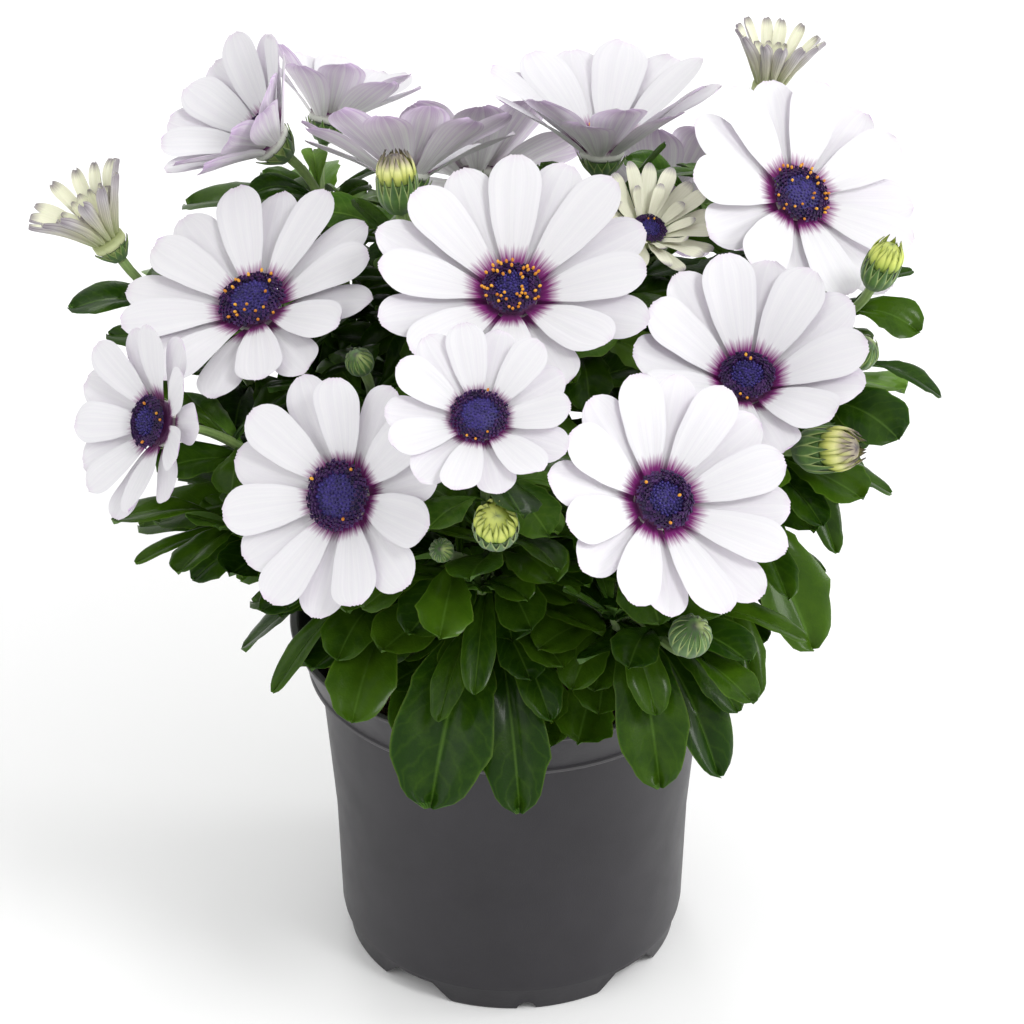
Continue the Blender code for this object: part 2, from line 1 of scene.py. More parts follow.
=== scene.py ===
"""Dresses the solids of a potted osteospermum: petals, florets, leaves, stems, soil and pot."""

import math
import random
from collections import namedtuple

import bmesh
import bpy
from mathutils import Matrix, Vector, noise


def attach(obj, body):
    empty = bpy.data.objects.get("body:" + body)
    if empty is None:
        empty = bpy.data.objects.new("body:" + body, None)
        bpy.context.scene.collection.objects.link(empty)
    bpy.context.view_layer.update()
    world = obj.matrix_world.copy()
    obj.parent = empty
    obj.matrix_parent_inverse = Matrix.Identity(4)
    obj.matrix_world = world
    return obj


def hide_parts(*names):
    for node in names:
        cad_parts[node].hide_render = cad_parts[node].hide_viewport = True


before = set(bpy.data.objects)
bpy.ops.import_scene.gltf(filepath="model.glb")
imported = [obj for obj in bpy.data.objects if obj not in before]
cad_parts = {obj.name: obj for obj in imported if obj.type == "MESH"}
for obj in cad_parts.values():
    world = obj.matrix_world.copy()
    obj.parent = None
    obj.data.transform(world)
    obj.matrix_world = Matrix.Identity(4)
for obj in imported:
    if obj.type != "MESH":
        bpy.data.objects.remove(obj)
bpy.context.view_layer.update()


MM = 0.001
SEED = 11

# The pot's foot, in degrees and millimetres: gaps between the feet, and a half-round notch in each foot
GAPS_AT = (54, 136, 234, 316)
NOTCHES_AT = (5, 95, 185, 275)
GAP_H = 5.5
NOTCH_R = 2.6

# Soil, and how deep a stem stands in it
SOIL_TOP = 87.0
ROOT_DEPTH = 12.0

# Stems and stalks
STEM_R = 2.2
STALK_R = 1.25

# How far leaves keep from everything else, and the size of the cells that are searched for it
CLEARANCE = 3.1
CELL = 4.0

UP = Vector((0, 0, 1))

Head = namedtuple("Head", "name stem kind centre azimuth elevation reach cup count size")

# Stem name: where it leaves the soil, and the fork its stalks grow from
STEMS = {
    "01": ((-3, -30), (-6, -44, 130)),
    "02": ((-22, -22), (-32, -38, 134)),
    "03": ((-38, -8), (-58, -20, 142)),
    "04": ((-38, 14), (-66, 16, 150)),
    "05": ((-18, 2), (-40, 2, 146)),
    "06": ((-26, 34), (-44, 46, 158)),
    "07": ((-6, 20), (-18, 26, 160)),
    "08": ((6, -2), (6, -4, 150)),
    "09": ((12, 36), (28, 44, 160)),
    "10": ((34, 14), (56, 16, 156)),
    "11": ((34, -10), (58, -14, 148)),
    "12": ((20, -32), (28, -44, 126)),
    "13": ((-4, 44), (-8, 60, 132)),
}

# Heads: the middle of the disc, which way it faces, petal reach, cup in degrees, petals in a layer, size
HEADS = (
    Head("01", "08", "open", (0, -20, 214), 270, 62, 39, 26, 8, 1.0),
    Head("02", "05", "open", (-68, 0, 199), 230, 66, 36, 18, 8, 1.0),
    Head("03", "03", "open", (-93, -40, 186), 214, 26, 27, 26, 7, 0.9),
    Head("04", "02", "open", (-44, -72, 184), 236, 32, 32, 20, 7, 1.0),
    Head("05", "01", "open", (-8, -82, 214), 268, 57, 25, 24, 7, 0.8),
    Head("06", "12", "open", (38, -83, 190), 298, 44, 35, 26, 8, 1.0),
    Head("07", "11", "open", (60, -32, 195), 272, 64, 35, 36, 7, 0.95),
    Head("08", "10", "open", (76, 22, 218), 310, 50, 34.5, 16, 7, 0.9),
    Head("09", "09", "open", (24, 52, 219), 90, 80, 37, 40, 7, 0.9),
    Head("10", "07", "open", (-28, 42, 217), 92, 54, 33, 30, 7, 0.9),
    Head("11", "06", "open", (-68, 52, 220), 188, 46, 31, 46, 7, 0.9),
    Head("12", "06", "open", (-49, 92, 207), 60, 62, 28, 42, 6, 0.85),
    Head("13", "08", "cream", (36, 12, 213), 310, 62, 20, 34, 9, 0.6),
    Head("14", "04", "half", (-108, 24, 205), 172, 58, 24, 54, 13, 0.7),
    Head("15", "09", "half", (69, 60, 232), 45, 76, 21, 58, 13, 0.7),
    Head("16", "13", "open", (-10, 112, 177), 92, 34, 33, 18, 6, 1.0),
    Head("17", "13", "open", (44, 92, 178), 62, 26, 32, 18, 6, 0.95),
    Head("18", "07", "bud", (-30, 10, 231), 120, 80, 0, 0, 8, 0.85),
    Head("19", "10", "bud", (96, -10, 217), 340, 70, 0, 0, 8, 0.75),
    Head("20", "11", "bud", (83, -50, 184), 330, 20, 0, 0, 8, 0.95),
    Head("21", "01", "bud", (-4, -90, 188), 270, 50, 0, 0, 8, 0.9),
    Head("22", "11", "green", (92, -20, 198), 330, 60, 0, 0, 8, 0.75),
    Head("23", "01", "green", (-18, -84, 176), 260, 40, 0, 0, 8, 0.5),
    Head("24", "05", "green", (-40, -30, 200), 240, 60, 0, 0, 8, 0.6),
    Head("25", "12", "green", (46, -84, 153), 290, 60, 0, 0, 8, 0.9),
)

# Leafy shoots without a head: stem and tip
SHOOTS = (
    ("12", (26, -62, 142)),
    ("01", (-8, -66, 154)),
    ("03", (-70, -34, 150)),
    ("10", (84, 4, 176)),
)

# Leaves seen in the photo: stem, about where it starts, tip, half width, rise of its arch
LEAVES = (
    ("01", (-5, -44, 127), (-21, -88, 99), 12.0, 14),
    ("01", (3, -44, 124), (2, -86, 96), 8.5, 14),
    ("01", (-5, -50, 138), (-19, -82, 122), 4.0, 6),
    ("01", (-4, -40, 114), (-3, -80, 112), 6.0, 8),
    ("01", (4, -46, 126), (10, -77, 115), 5.5, 8),
    ("02", (-14, -38, 128), (-45, -66, 130), 6.5, 8),
    ("02", (-18, -40, 124), (-41, -78, 119), 8.0, 8),
    ("02", (-36, -44, 136), (-58, -62, 117), 3.5, 7),
    ("02", (-34, -38, 132), (-64, -52, 130), 6.0, 5),
    ("03", (-52, -20, 136), (-84, -30, 131), 5.5, 6),
    ("03", (-66, -28, 146), (-98, -36, 140), 3.0, 4),
    ("03", (-70, -34, 152), (-103, -42, 157), 6.0, 5),
    ("03", (-66, -32, 150), (-86, -54, 149), 5.5, 4),
    ("04", (-62, 6, 156), (-94, -18, 166), 5.0, 4),
    ("04", (-64, 4, 164), (-89, -8, 182), 5.5, 3),
    ("12", (22, -46, 128), (38, -86, 104), 8.5, 14),
    ("12", (30, -44, 126), (54, -74, 99), 8.0, 13),
    ("12", (32, -46, 128), (56, -72, 112), 6.0, 8),
    ("11", (46, -20, 126), (64, -50, 107), 5.0, 9),
    ("11", (48, -16, 124), (74, -38, 110), 5.0, 8),
    ("12", (34, -48, 132), (76, -60, 132), 6.0, 7),
    ("11", (54, -30, 144), (71, -60, 145), 5.0, 6),
    ("11", (56, -22, 140), (82, -32, 112), 10.0, 10),
    ("10", (64, -2, 150), (86, -16, 130), 4.5, 7),
    ("11", (70, -26, 164), (99, -24, 154), 5.0, 5),
    ("10", (66, 0, 156), (92, -8, 142), 6.0, 6),
    ("11", (82, -28, 192), (111, -20, 181), 4.0, 4),
    ("10", (88, -4, 204), (104, 2, 206), 2.5, 2),
    ("12", (26, -50, 134), (13, -72, 122), 6.0, 6),
    ("12", (28, -56, 138), (37, -82, 124), 5.0, 6),
    ("12", (28, -56, 146), (30, -66, 160), 3.2, 1),
    ("01", (-8, -62, 150), (-16, -76, 166), 3.6, 2),
    ("01", (-8, -64, 152), (-30, -74, 162), 3.6, 2),
    ("01", (-6, -64, 152), (4, -80, 158), 4.2, 3),
    ("09", (36, 44, 200), (40, 34, 226), 3.0, 0),
    ("07", (-28, 24, 205), (-36, 4, 214), 3.2, 2),
    ("10", (62, 10, 190), (48, -8, 204), 4.0, 3),
    ("10", (64, 12, 184), (58, -18, 192), 4.0, 4),
)

# Leaves set by rule, up each stem in a golden-angle spiral
RULE_LEAVES = 3
GOLDEN = math.radians(137.5)

# Outlines: half width at each share of the length
PETAL_OUTLINE = ((0, 0.18), (0.2, 0.52), (0.45, 0.86), (0.7, 1), (0.88, 0.92), (1, 0.55))
LEAF_OUTLINE = (
    (0, 0.14), (0.2, 0.14), (0.36, 0.48), (0.54, 0.86), (0.72, 1), (0.88, 0.84), (0.96, 0.54), (1, 0.28))


# Layout

def level(turn):
    """The level direction at a turn about the vertical."""
    return Vector((math.cos(turn), math.sin(turn), 0))


def rotation(head):
    """Head to world: its Z is the way the head faces."""
    around, up = math.radians(head.azimuth), math.radians(head.elevation)
    z = Vector((math.cos(up) * math.cos(around), math.cos(up) * math.sin(around), math.sin(up)))
    x = Vector((-math.sin(around), math.cos(around), 0))
    return Matrix((x, z.cross(x), z)).transposed()


def in_head(head, point):
    """A point given from the middle of the petal ring, at full size, in world millimetres."""
    turned = rotation(head)
    return Vector(head.centre) + turned @ (Vector(point) - Vector((0, 0, 5 * head.size)))


def petal_row(head, layer, index, share):
    """Middle, side and face direction of a petal at a share of its length."""
    rng = random.Random(f"{SEED} {head.name} {layer} {index}")
    turn = (index + 0.5 * layer + rng.uniform(-0.05, 0.05)) * math.tau / head.count
    slope = math.radians(head.cup - 4 * layer + rng.uniform(-1.5, 1.5))
    bend = math.radians(rng.uniform(10, 15))
    start = 5.0 * head.size
    length = (head.reach - start) * rng.uniform(0.93, 1.03)
    first = slope + bend / 2
    out = start + length * (math.sin(first) - math.sin(first - bend * share)) / bend
    rise = length * (math.cos(first - bend * share) - math.cos(first)) / bend
    rise += (0.7 - 1.75 * layer) * head.size
    radial = level(turn)
    side = Vector((-math.sin(turn), math.cos(turn), 0))
    now = first - bend * share
    face = UP * math.cos(now) - radial * math.sin(now)
    turned = rotation(head)
    middle = in_head(head, radial * out + Vector((0, 0, rise)))
    return middle, turned @ side, turned @ face


def curve_point(a, b, c, d, share):
    rest = 1 - share
    return (a * rest ** 3 + b * 3 * rest * rest * share
            + c * 3 * rest * share * share + d * share ** 3)


def stem_path(name, shares=(0, 0.5, 1.0)):
    """Points from the root, inside its hole, to the fork."""
    root, fork = STEMS[name]
    low = Vector((*root, SOIL_TOP - ROOT_DEPTH))
    top = Vector(fork)
    steps = [low]
    start = Vector((*root, SOIL_TOP + 3))
    for share in shares:
        steps.append(curve_point(start, start + UP * 14, top - UP * 12, top, share))
    return steps


def stalk_path(head, steps=3):
    """Points from the stem's fork to the neck of a head."""
    fork = Vector(STEMS[head.stem][1])
    neck = in_head(head, (0, 0, -9 * head.size))
    far = (neck - fork).length
    back = rotation(head) @ Vector((0, 0, -1))
    start = fork + Vector((0, 0, 0.35 * far))
    end = neck + back * 0.3 * far
    return [curve_point(fork, start, end, neck, i / steps) for i in range(steps + 1)]


def shoot_path(stem, tip, steps=2):
    fork = Vector(STEMS[stem][1])
    end = Vector(tip)
    middle = (fork + end) / 2 + Vector((0, 0, -3))
    return [curve_point(fork, middle, middle, end, i / steps) for i in range(steps + 1)]


def paths_of(stem):
    """Every line of a stem: the stem itself, then its stalks and shoots."""
    lines = [stem_path(stem)]
    lines += [stalk_path(head) for head in HEADS if head.stem == stem]
    lines += [shoot_path(name, tip) for name, tip in SHOOTS if name == stem]
    return lines


def nearest(stem, point):
    """The point on any line of a stem that is nearest to one given."""
    best = None
    for line in paths_of(stem):
        for a, b in zip(line, line[1:]):
            along = (b - a)
            share = max(0, min(1, (point - a).dot(along) / along.length_squared))
            spot = a + along * share
            far = (spot - point).length
            if best is None or far < best[0]:
                best = (far, spot)
    return best[1]


def leaf_row(leaf, share):
    """Middle, side and face direction of a leaf at a share of its length."""
    base, tip, arch, roll = leaf["base"], leaf["tip"], leaf["arch"], leaf["roll"]
    top = base.lerp(tip, 0.5) + Vector((0, 0, 2 * arch))
    top.z = max(top.z, base.z + 1.0 if arch > 3 else top.z)
    rest = 1 - share
    middle = base * rest * rest + top * 2 * rest * share + tip * share * share
    along = ((top - base) * rest + (tip - top) * share).normalized()
    flat = Vector((tip.x - base.x, tip.y - base.y, 0))
    if flat.length < 1:
        flat = Vector((0, -1, 0))
    side = Vector((-flat.y, flat.x, 0)).normalized()
    side = Matrix.Rotation(roll, 3, along) @ side
    side = (side - along * side.dot(along)).normalized()
    return middle, side, side.cross(along) * -1


def between(table, share):
    """A value from a table of (share, value) rows, in straight lines between them."""
    for (low, first), (high, last) in zip(table, table[1:]):
        if share <= high:
            return first + (last - first) * (share - low) / (high - low)
    return table[-1][1]


class Room:
    """Points of what is placed so far, in cells, to keep later leaves clear of them."""

    def __init__(self, near=CLEARANCE):
        self.near = near
        self.cells = {}

    def cell(self, point):
        return tuple(int(math.floor(value / CELL)) for value in point)

    def add(self, owner, points):
        for point in points:
            self.cells.setdefault(self.cell(point), []).append((owner, point))

    def free(self, owner, points):
        for point in points:
            i, j, k = self.cell(point)
            for x in (i - 1, i, i + 1):
                for y in (j - 1, j, j + 1):
                    for z in (k - 1, k, k + 1):
                        for other, spot in self.cells.get((x, y, z), ()):
                            if other != owner and (spot - point).length < self.near:
                                return False
        return True


def blade_points(row_at, width_at, length):
    """Points about 3 mm apart over a blade."""
    rows = max(3, int(length / 2.6))
    points = []
    for row in range(rows + 1):
        middle, side, _ = row_at(row / rows)
        half = width_at(row / rows)
        columns = int(half / 1.5) + 1
        for column in range(columns + 1):
            points.append(middle + side * half * (2 * column / columns - 1))
    return points


def head_points(head):
    """Points over every petal of a head, its disc and its cup, or over a bud."""
    points = []
    if head.reach:
        for layer in range(1 if head.kind == "half" else 2):
            for index in range(head.count):
                points += blade_points(
                    lambda share: petal_row(head, layer, index, share),
                    lambda share: petal_half(head) * between(PETAL_OUTLINE, share),
                    head.reach)
    for z in (-8, -5, -2, 1, 4, 7):
        for step in range(6):
            turn = step * math.tau / 6
            radius = (2, 5, 6, 6, 6, 4)[(z + 8) // 3] * head.size
            spot = (radius * math.cos(turn), radius * math.sin(turn), z * head.size)
            points.append(in_head(head, spot))
    return points


def petal_half(head):
    """Half width of a head's petals at their widest."""
    share = {"open": 0.175, "cream": 0.12, "half": 0.085}[head.kind]
    return share * head.reach * (1 if head.kind == "half" else 8 / head.count)


def line_points(line):
    points = []
    for a, b in zip(line, line[1:]):
        count = max(1, int((b - a).length / 2.5))
        points += [a.lerp(b, i / count) for i in range(count + 1)]
    return points


def over_pot(points):
    """True where every point keeps clear of the rim, the wall and the soil."""
    for point in points:
        radius = math.hypot(point.x, point.y)
        if 50 < radius < 62.5 and point.z < 103:
            return False
        if radius <= 50 and point.z < SOIL_TOP + 3:
            return False
    return True


def leaf_points(leaf):
    length = (leaf["tip"] - leaf["base"]).length + leaf["arch"]
    points = blade_points(
        lambda share: leaf_row(leaf, share),
        lambda share: leaf["half"] * between(LEAF_OUTLINE, share),
        length)
    return points[4:]


def make_leaf(stem, base, tip, half, arch, roll):
    return {"stem": stem, "base": base, "tip": tip, "half": half, "arch": arch, "roll": roll}


def tried_leaf(room, stem, base, tip, half, arch, roll, tries):
    """The first of a leaf's small variations that touches nothing, or None."""
    reach = tip - base
    for turn, lift, size in tries:
        spot = base + Matrix.Rotation(math.radians(turn), 3, "Z") @ (reach * size)
        leaf = make_leaf(stem, base, spot + Vector((0, 0, lift)), half * size, arch, roll)
        points = leaf_points(leaf)
        outer = points[len(points) // 4:]
        if over_pot(points) and room.free(stem, points) and room.free("", outer):
            room.add(stem, points)
            return leaf
    return None


def placed_leaves():
    """Every leaf of the plant, each clear of all that came before it."""
    room = Room()
    for head in HEADS:
        room.add(head.stem, head_points(head))
    for stem in STEMS:
        for line in paths_of(stem):
            room.add(stem, line_points(line))
    leaves = []
    small = [(turn, lift, size) for size in (1, 0.9, 0.8)
             for lift in (0, -4, 4, -8, 8) for turn in (0, 6, -6, 12, -12)]
    for number, (stem, base, tip, half, arch) in enumerate(LEAVES):
        rng = random.Random(f"{SEED} seen {number}")
        start = nearest(stem, Vector(base))
        roll = rng.uniform(-0.25, 0.25)
        leaves.append(tried_leaf(room, stem, start, Vector(tip), half, arch, roll, small))
    wide = [(turn, lift, size) for size in (1, 0.8, 0.62)
            for turn in (0, 20, -20, 40, -40) for lift in (0, -8, 8)]
    for stem in STEMS:
        leaves += rule_leaves(room, stem, wide)
    return [leaf for leaf in leaves if leaf]


def rule_leaves(room, stem, tries):
    """Leaves in a spiral up a stem and its lines."""
    lines = paths_of(stem)
    found = []
    for number in range(RULE_LEAVES):
        rng = random.Random(f"{SEED} rule {stem} {number}")
        line = lines[number % len(lines)]
        spots = line_points(line)
        height = 0.35 + 0.5 * (number / RULE_LEAVES) if line is lines[0] else rng.uniform(0.15, 0.7)
        base = spots[int(height * (len(spots) - 1))]
        turn = number * GOLDEN + rng.uniform(-0.4, 0.4)
        length = rng.uniform(26, 40)
        drop = rng.uniform(-10, 12) - max(0, 150 - base.z) * 0.3
        out = level(turn) * length
        away = Vector((base.x, base.y, 0))
        tip = base + out + away.normalized() * 8 + Vector((0, 0, drop))
        half = length * rng.uniform(0.14, 0.2)
        arch, roll = rng.uniform(3, 7), rng.uniform(-0.3, 0.3)
        found.append(tried_leaf(room, stem, base, tip, half, arch, roll, tries))
    return found


# Camera, floor and light

# In metres, degrees and millimetres
CAMERA_AT = (0, -1.1768, 0.8911)
CAMERA_TILT = math.radians(57.2)
LENS = 184.5
SENSOR = 36
SEES_TO = 20

FLOOR_HALF = 6.0
SURROUNDINGS = 0.9

# Lamps: name, place, the height on the axis that it points at, its width, its power
LAMPS = (
    ("key", (0.8, -0.9, 1.5), 0.15, 0.5, 11),
    ("fill", (-1.3, -0.7, 0.9), 0.15, 0.9, 2),
    ("side", (1.4, 0.1, 0.5), 0.08, 0.5, 6),
    ("back", (-0.3, 1.3, 1.2), 0.15, 0.6, 4),
)


def put(name, data):
    """A new object of this data, in the scene."""
    made = bpy.data.objects.new(name, data)
    bpy.context.scene.collection.objects.link(made)
    return made


def camera():
    """The photo's view: from the front, looking down by about a third of a right angle."""
    data = bpy.data.cameras.new("view")
    data.lens = LENS
    data.sensor_width = SENSOR
    data.clip_end = SEES_TO
    made = put("view", data)
    made.location = CAMERA_AT
    made.rotation_euler = (CAMERA_TILT, 0, 0)
    bpy.context.scene.camera = made


def lamp(name, spot, height, size, power):
    data = bpy.data.lights.new(name, "AREA")
    data.shape = "DISK"
    data.size = size
    data.energy = power
    made = put(name, data)
    made.location = spot
    made.rotation_euler = (UP * height - Vector(spot)).to_track_quat("-Z", "Y").to_euler()


def studio():
    """Pale floor, pale surroundings and four soft lamps, the main one at the right."""
    mesh = bpy.data.meshes.new("floor")
    far = FLOOR_HALF
    mesh.from_pydata([(-far, -far, 0), (far, -far, 0), (far, far, 0), (-far, far, 0)], [], [(0, 1, 2, 3)])
    floor = put("floor", mesh)
    paint, shader = new_material("floor")
    shader.inputs["Base Color"].default_value = (0.98, 0.98, 0.98, 1)
    shader.inputs["Roughness"].default_value = 0.9
    mesh.materials.append(paint)
    world = bpy.data.worlds.new("surroundings")
    world.use_nodes = True
    sky = world.node_tree.nodes["Background"]
    sky.inputs["Color"].default_value = (1, 1, 1, 1)
    sky.inputs["Strength"].default_value = SURROUNDINGS
    bpy.context.scene.world = world
    for row in LAMPS:
        lamp(*row)
    bpy.context.scene.view_settings.view_transform = "Standard"
    bpy.context.scene.view_settings.look = "None"


# Materials

BLACK, WHITE = (0, 0, 0), (1, 1, 1)


def new_material(name):
    made = bpy.data.materials.new(name)
    made.use_nodes = True
    return made, made.node_tree.nodes["Principled BSDF"]


class Nodes:
    """Short names for the shader nodes that the materials are made of."""

    def __init__(self, name, rough=0.5):
        self.material, self.shader = new_material(name)
        self.tree = self.material.node_tree
        self.shader.inputs["Roughness"].default_value = rough

    def link(self, out, into):
        self.tree.links.new(out, into)

    def uv(self):
        """Across a blade in X and along it in Y, both from 0 to 1."""
        made = self.tree.nodes.new("ShaderNodeUVMap")
        made.uv_map = "blade"
        split = self.tree.nodes.new("ShaderNodeSeparateXYZ")
        self.link(made.outputs["UV"], split.inputs[0])
        return made.outputs["UV"], split.outputs["X"], split.outputs["Y"]

    def tint(self):
        made = self.tree.nodes.new("ShaderNodeAttribute")
        made.attribute_name = "tint"
        return made.outputs["Fac"]

    def place(self):
        return self.tree.nodes.new("ShaderNodeTexCoord").outputs["Object"]

    def feed(self, value, socket):
        """Sets a socket to a number or a colour, or links it to another socket."""
        if isinstance(value, (int, float)):
            socket.default_value = value
        elif isinstance(value, tuple):
            socket.default_value = (*value, 1)
        else:
            self.link(value, socket)

    def math(self, kind, a, b=0.0, c=0.0):
        made = self.tree.nodes.new("ShaderNodeMath")
        made.operation = kind
        for socket, value in zip(made.inputs, (a, b, c)):
            self.feed(value, socket)
        return made.outputs[0]

    def times(self, a, b):
        return self.math("MULTIPLY", a, b)

    def scaled(self, value, share, shift):
        return self.math("MULTIPLY_ADD", value, share, shift)

    def from_middle(self, across):
        """How far a point lies from a blade's middle line, 0 to 0.5."""
        return self.math("ABSOLUTE", self.math("SUBTRACT", across, 0.5))

    def noise(self, place, scale, detail=3.0, rough=0.55):
        made = self.tree.nodes.new("ShaderNodeTexNoise")
        made.inputs["Scale"].default_value = scale
        made.inputs["Detail"].default_value = detail
        made.inputs["Roughness"].default_value = rough
        self.link(place, made.inputs["Vector"])
        return made.outputs["Fac"]

    def stretched(self, place, scale):
        made = self.tree.nodes.new("ShaderNodeMapping")
        made.inputs["Scale"].default_value = scale
        self.link(place, made.inputs["Vector"])
        return made.outputs["Vector"]

    def ramp(self, value, stops):
        """A colour ramp: stops are (place, colour)."""
        made = self.tree.nodes.new("ShaderNodeValToRGB")
        while len(made.color_ramp.elements) < len(stops):
            made.color_ramp.elements.new(1)
        for element, (place, colour) in zip(made.color_ramp.elements, stops):
            element.position = place
            element.color = (*colour, 1)
        self.link(value, made.inputs["Fac"])
        return made.outputs["Color"]

    def mix(self, share, a, b, kind="MIX"):
        made = self.tree.nodes.new("ShaderNodeMix")
        made.data_type = "RGBA"
        made.blend_type = kind
        for name, sort, value in (("Factor", "VALUE", share), ("A", "RGBA", a), ("B", "RGBA", b)):
            self.feed(value, [s for s in made.inputs if s.name == name and s.type == sort][0])
        return [s for s in made.outputs if s.type == "RGBA"][0]

    def bump(self, height, strength, depth):
        made = self.tree.nodes.new("ShaderNodeBump")
        made.inputs["Strength"].default_value = strength
        made.inputs["Distance"].default_value = depth
        self.link(height, made.inputs["Height"])
        self.link(made.outputs["Normal"], self.shader.inputs["Normal"])

    def colour(self, value):
        self.link(value, self.shader.inputs["Base Color"])

    def set(self, **values):
        for name, value in values.items():
            self.shader.inputs[name.replace("_", " ")].default_value = value


def petal_material(name, stops, ray, stripe, strength, edge):
    """Silky petal: colours along it that run into each other in rays, fine veins, and a margin of its own."""
    n = Nodes(name, 0.5)
    uv, across, along = n.uv()
    streak = n.noise(n.stretched(uv, (14, 1.3, 1)), 1.0, 2.0)
    where = n.math("ADD", along, n.scaled(streak, ray, -0.5 * ray))
    body = n.ramp(where, stops)
    veins = n.noise(n.stretched(uv, (22, 0.6, 1)), 1.0, 1.0)
    shade = n.ramp(veins, ((0.3, stripe), (0.68, WHITE)))
    share = n.scaled(n.tint(), 0.4 * strength, 0.8 * strength)
    body = n.mix(share, body, n.mix(1.0, body, shade, "MULTIPLY"))
    side = n.from_middle(across)
    margin = n.ramp(side, ((0.34, BLACK), (0.5, WHITE)))
    n.colour(n.mix(n.times(margin, 0.6), body, n.mix(1.0, body, edge, "MULTIPLY")))
    ridge = n.math("SINE", n.times(across, 50.0))
    n.bump(n.math("ADD", n.times(ridge, 0.3), veins), 0.1, 0.0002)
    n.set(Subsurface_Weight=0.1, Subsurface_Radius=(0.004, 0.003, 0.004), Subsurface_Scale=0.3)
    n.set(Sheen_Weight=0.1)
    return n.material


def leaf_material(name, deep, light, edge, gloss=0.32):
    """Glossy leaf: paler midrib, side veins and margin over a mottled green."""
    n = Nodes(name, gloss)
    uv, across, along = n.uv()
    place = n.place()
    side = n.from_middle(across)
    mottle = n.noise(place, 120.0, 4.0)
    green = n.ramp(n.math("ADD", mottle, n.scaled(n.tint(), 0.5, -0.25)),
                   ((0.25, deep), (0.8, light)))
    rib = n.ramp(side, ((0.0, (0.55, 0.55, 0.55)), (0.03, BLACK)))
    green = n.mix(rib, green, tuple(min(1, 1.7 * c + 0.02) for c in light))
    wander = n.noise(n.stretched(uv, (3, 9, 1)), 1.0, 2.0)
    slant = n.scaled(side, -15.0, n.scaled(along, 30.0, n.times(wander, 5.0)))
    vein = n.math("POWER", n.math("ABSOLUTE", n.math("SINE", slant)), 16.0)
    green = n.mix(n.times(vein, 0.22), green, light)
    margin = n.ramp(side, ((0.47, BLACK), (0.5, WHITE)))
    green = n.mix(n.times(margin, 0.4), green, edge)
    n.colour(green)
    grain = n.noise(place, 1500.0, 3.0)
    n.bump(n.math("SUBTRACT", n.times(grain, 1.4), n.times(vein, 0.3)), 0.3, 0.0002)
    n.set(Subsurface_Weight=0.05, Subsurface_Radius=(0.002, 0.004, 0.001), Subsurface_Scale=0.2)
    n.set(Specular_IOR_Level=0.06, Coat_Weight=0.16, Coat_Roughness=0.16)
    return n.material


def stem_material():
    """Ribbed, mottled green."""
    n = Nodes("stem green", 0.5)
    across = n.uv()[1]
    place = n.place()
    base = n.ramp(n.noise(place, 160.0, 3.0), ((0.3, (0.11, 0.2, 0.045)), (0.75, (0.24, 0.36, 0.1))))
    ribs = n.math("ABSOLUTE", n.math("SINE", n.times(across, 22.0)))
    n.colour(n.mix(n.times(ribs, 0.35), base, (0.3, 0.42, 0.14)))
    n.bump(n.math("ADD", ribs, n.noise(place, 1200.0, 2.0)), 0.4, 0.0003)
    n.set(Sheen_Weight=0.2)
    return n.material


def bract_material():
    """Green with pale margins and a dark tip."""
    n = Nodes("bract green", 0.5)
    _, across, along = n.uv()
    side = n.from_middle(across)
    body = n.ramp(n.noise(n.place(), 300.0, 3.0), ((0.3, (0.03, 0.09, 0.012)), (0.7, (0.08, 0.18, 0.025))))
    pale = n.ramp(side, ((0.3, BLACK), (0.46, WHITE)))
    body = n.mix(n.times(pale, 0.75), body, (0.4, 0.5, 0.16))
    tip = n.ramp(along, ((0.86, BLACK), (1.0, WHITE)))
    n.colour(n.mix(n.times(tip, 0.8), body, (0.05, 0.03, 0.05)))
    n.bump(n.noise(n.place(), 1400.0, 2.0), 0.4, 0.0002)
    n.set(Sheen_Weight=0.25)
    return n.material


def bud_material(name, stops, seam_colour):
    """Rolled petals of a bud: green at the foot, then paler, with dark seams between them."""
    n = Nodes(name, 0.5)
    uv, across, along = n.uv()
    streak = n.noise(n.stretched(uv, (9, 1.5, 1)), 1.0, 2.0)
    where = n.math("ADD", along, n.scaled(streak, 0.3, -0.15))
    body = n.ramp(where, stops)
    side = n.from_middle(across)
    seam = n.ramp(side, ((0.25, WHITE), (0.5, seam_colour)))
    n.colour(n.mix(0.8, body, n.mix(1.0, body, seam, "MULTIPLY")))
    n.bump(n.noise(n.place(), 900.0, 3.0), 0.3, 0.0002)
    return n.material


def floret_material(name, low, high):
    n = Nodes(name, 0.6)
    grain = n.noise(n.place(), 1500.0, 2.0)
    n.colour(n.ramp(n.math("ADD", grain, n.scaled(n.tint(), 0.6, -0.3)), ((0.25, low), (0.8, high))))
    n.bump(grain, 0.3, 0.0002)
    return n.material


def ring_material(name, outside, inside):
    """The ring the petals grow from: pale outside, coloured on top."""
    n = Nodes(name, 0.6)
    along = n.uv()[2]
    grain = n.noise(n.place(), 900.0, 2.0)
    where = n.math("ADD", along, n.scaled(grain, 0.1, -0.05))
    n.colour(n.ramp(where, ((0.46, outside), (0.57, inside))))
    n.bump(grain, 0.3, 0.0002)
    return n.material


# Heights in metres of the pot's edges that carry a painted highlight line, and half the width of each pale
# line
PAINTED_HIGHLIGHT_EDGES = ((0.0862, 0.0006), (0.1, 0.0007))


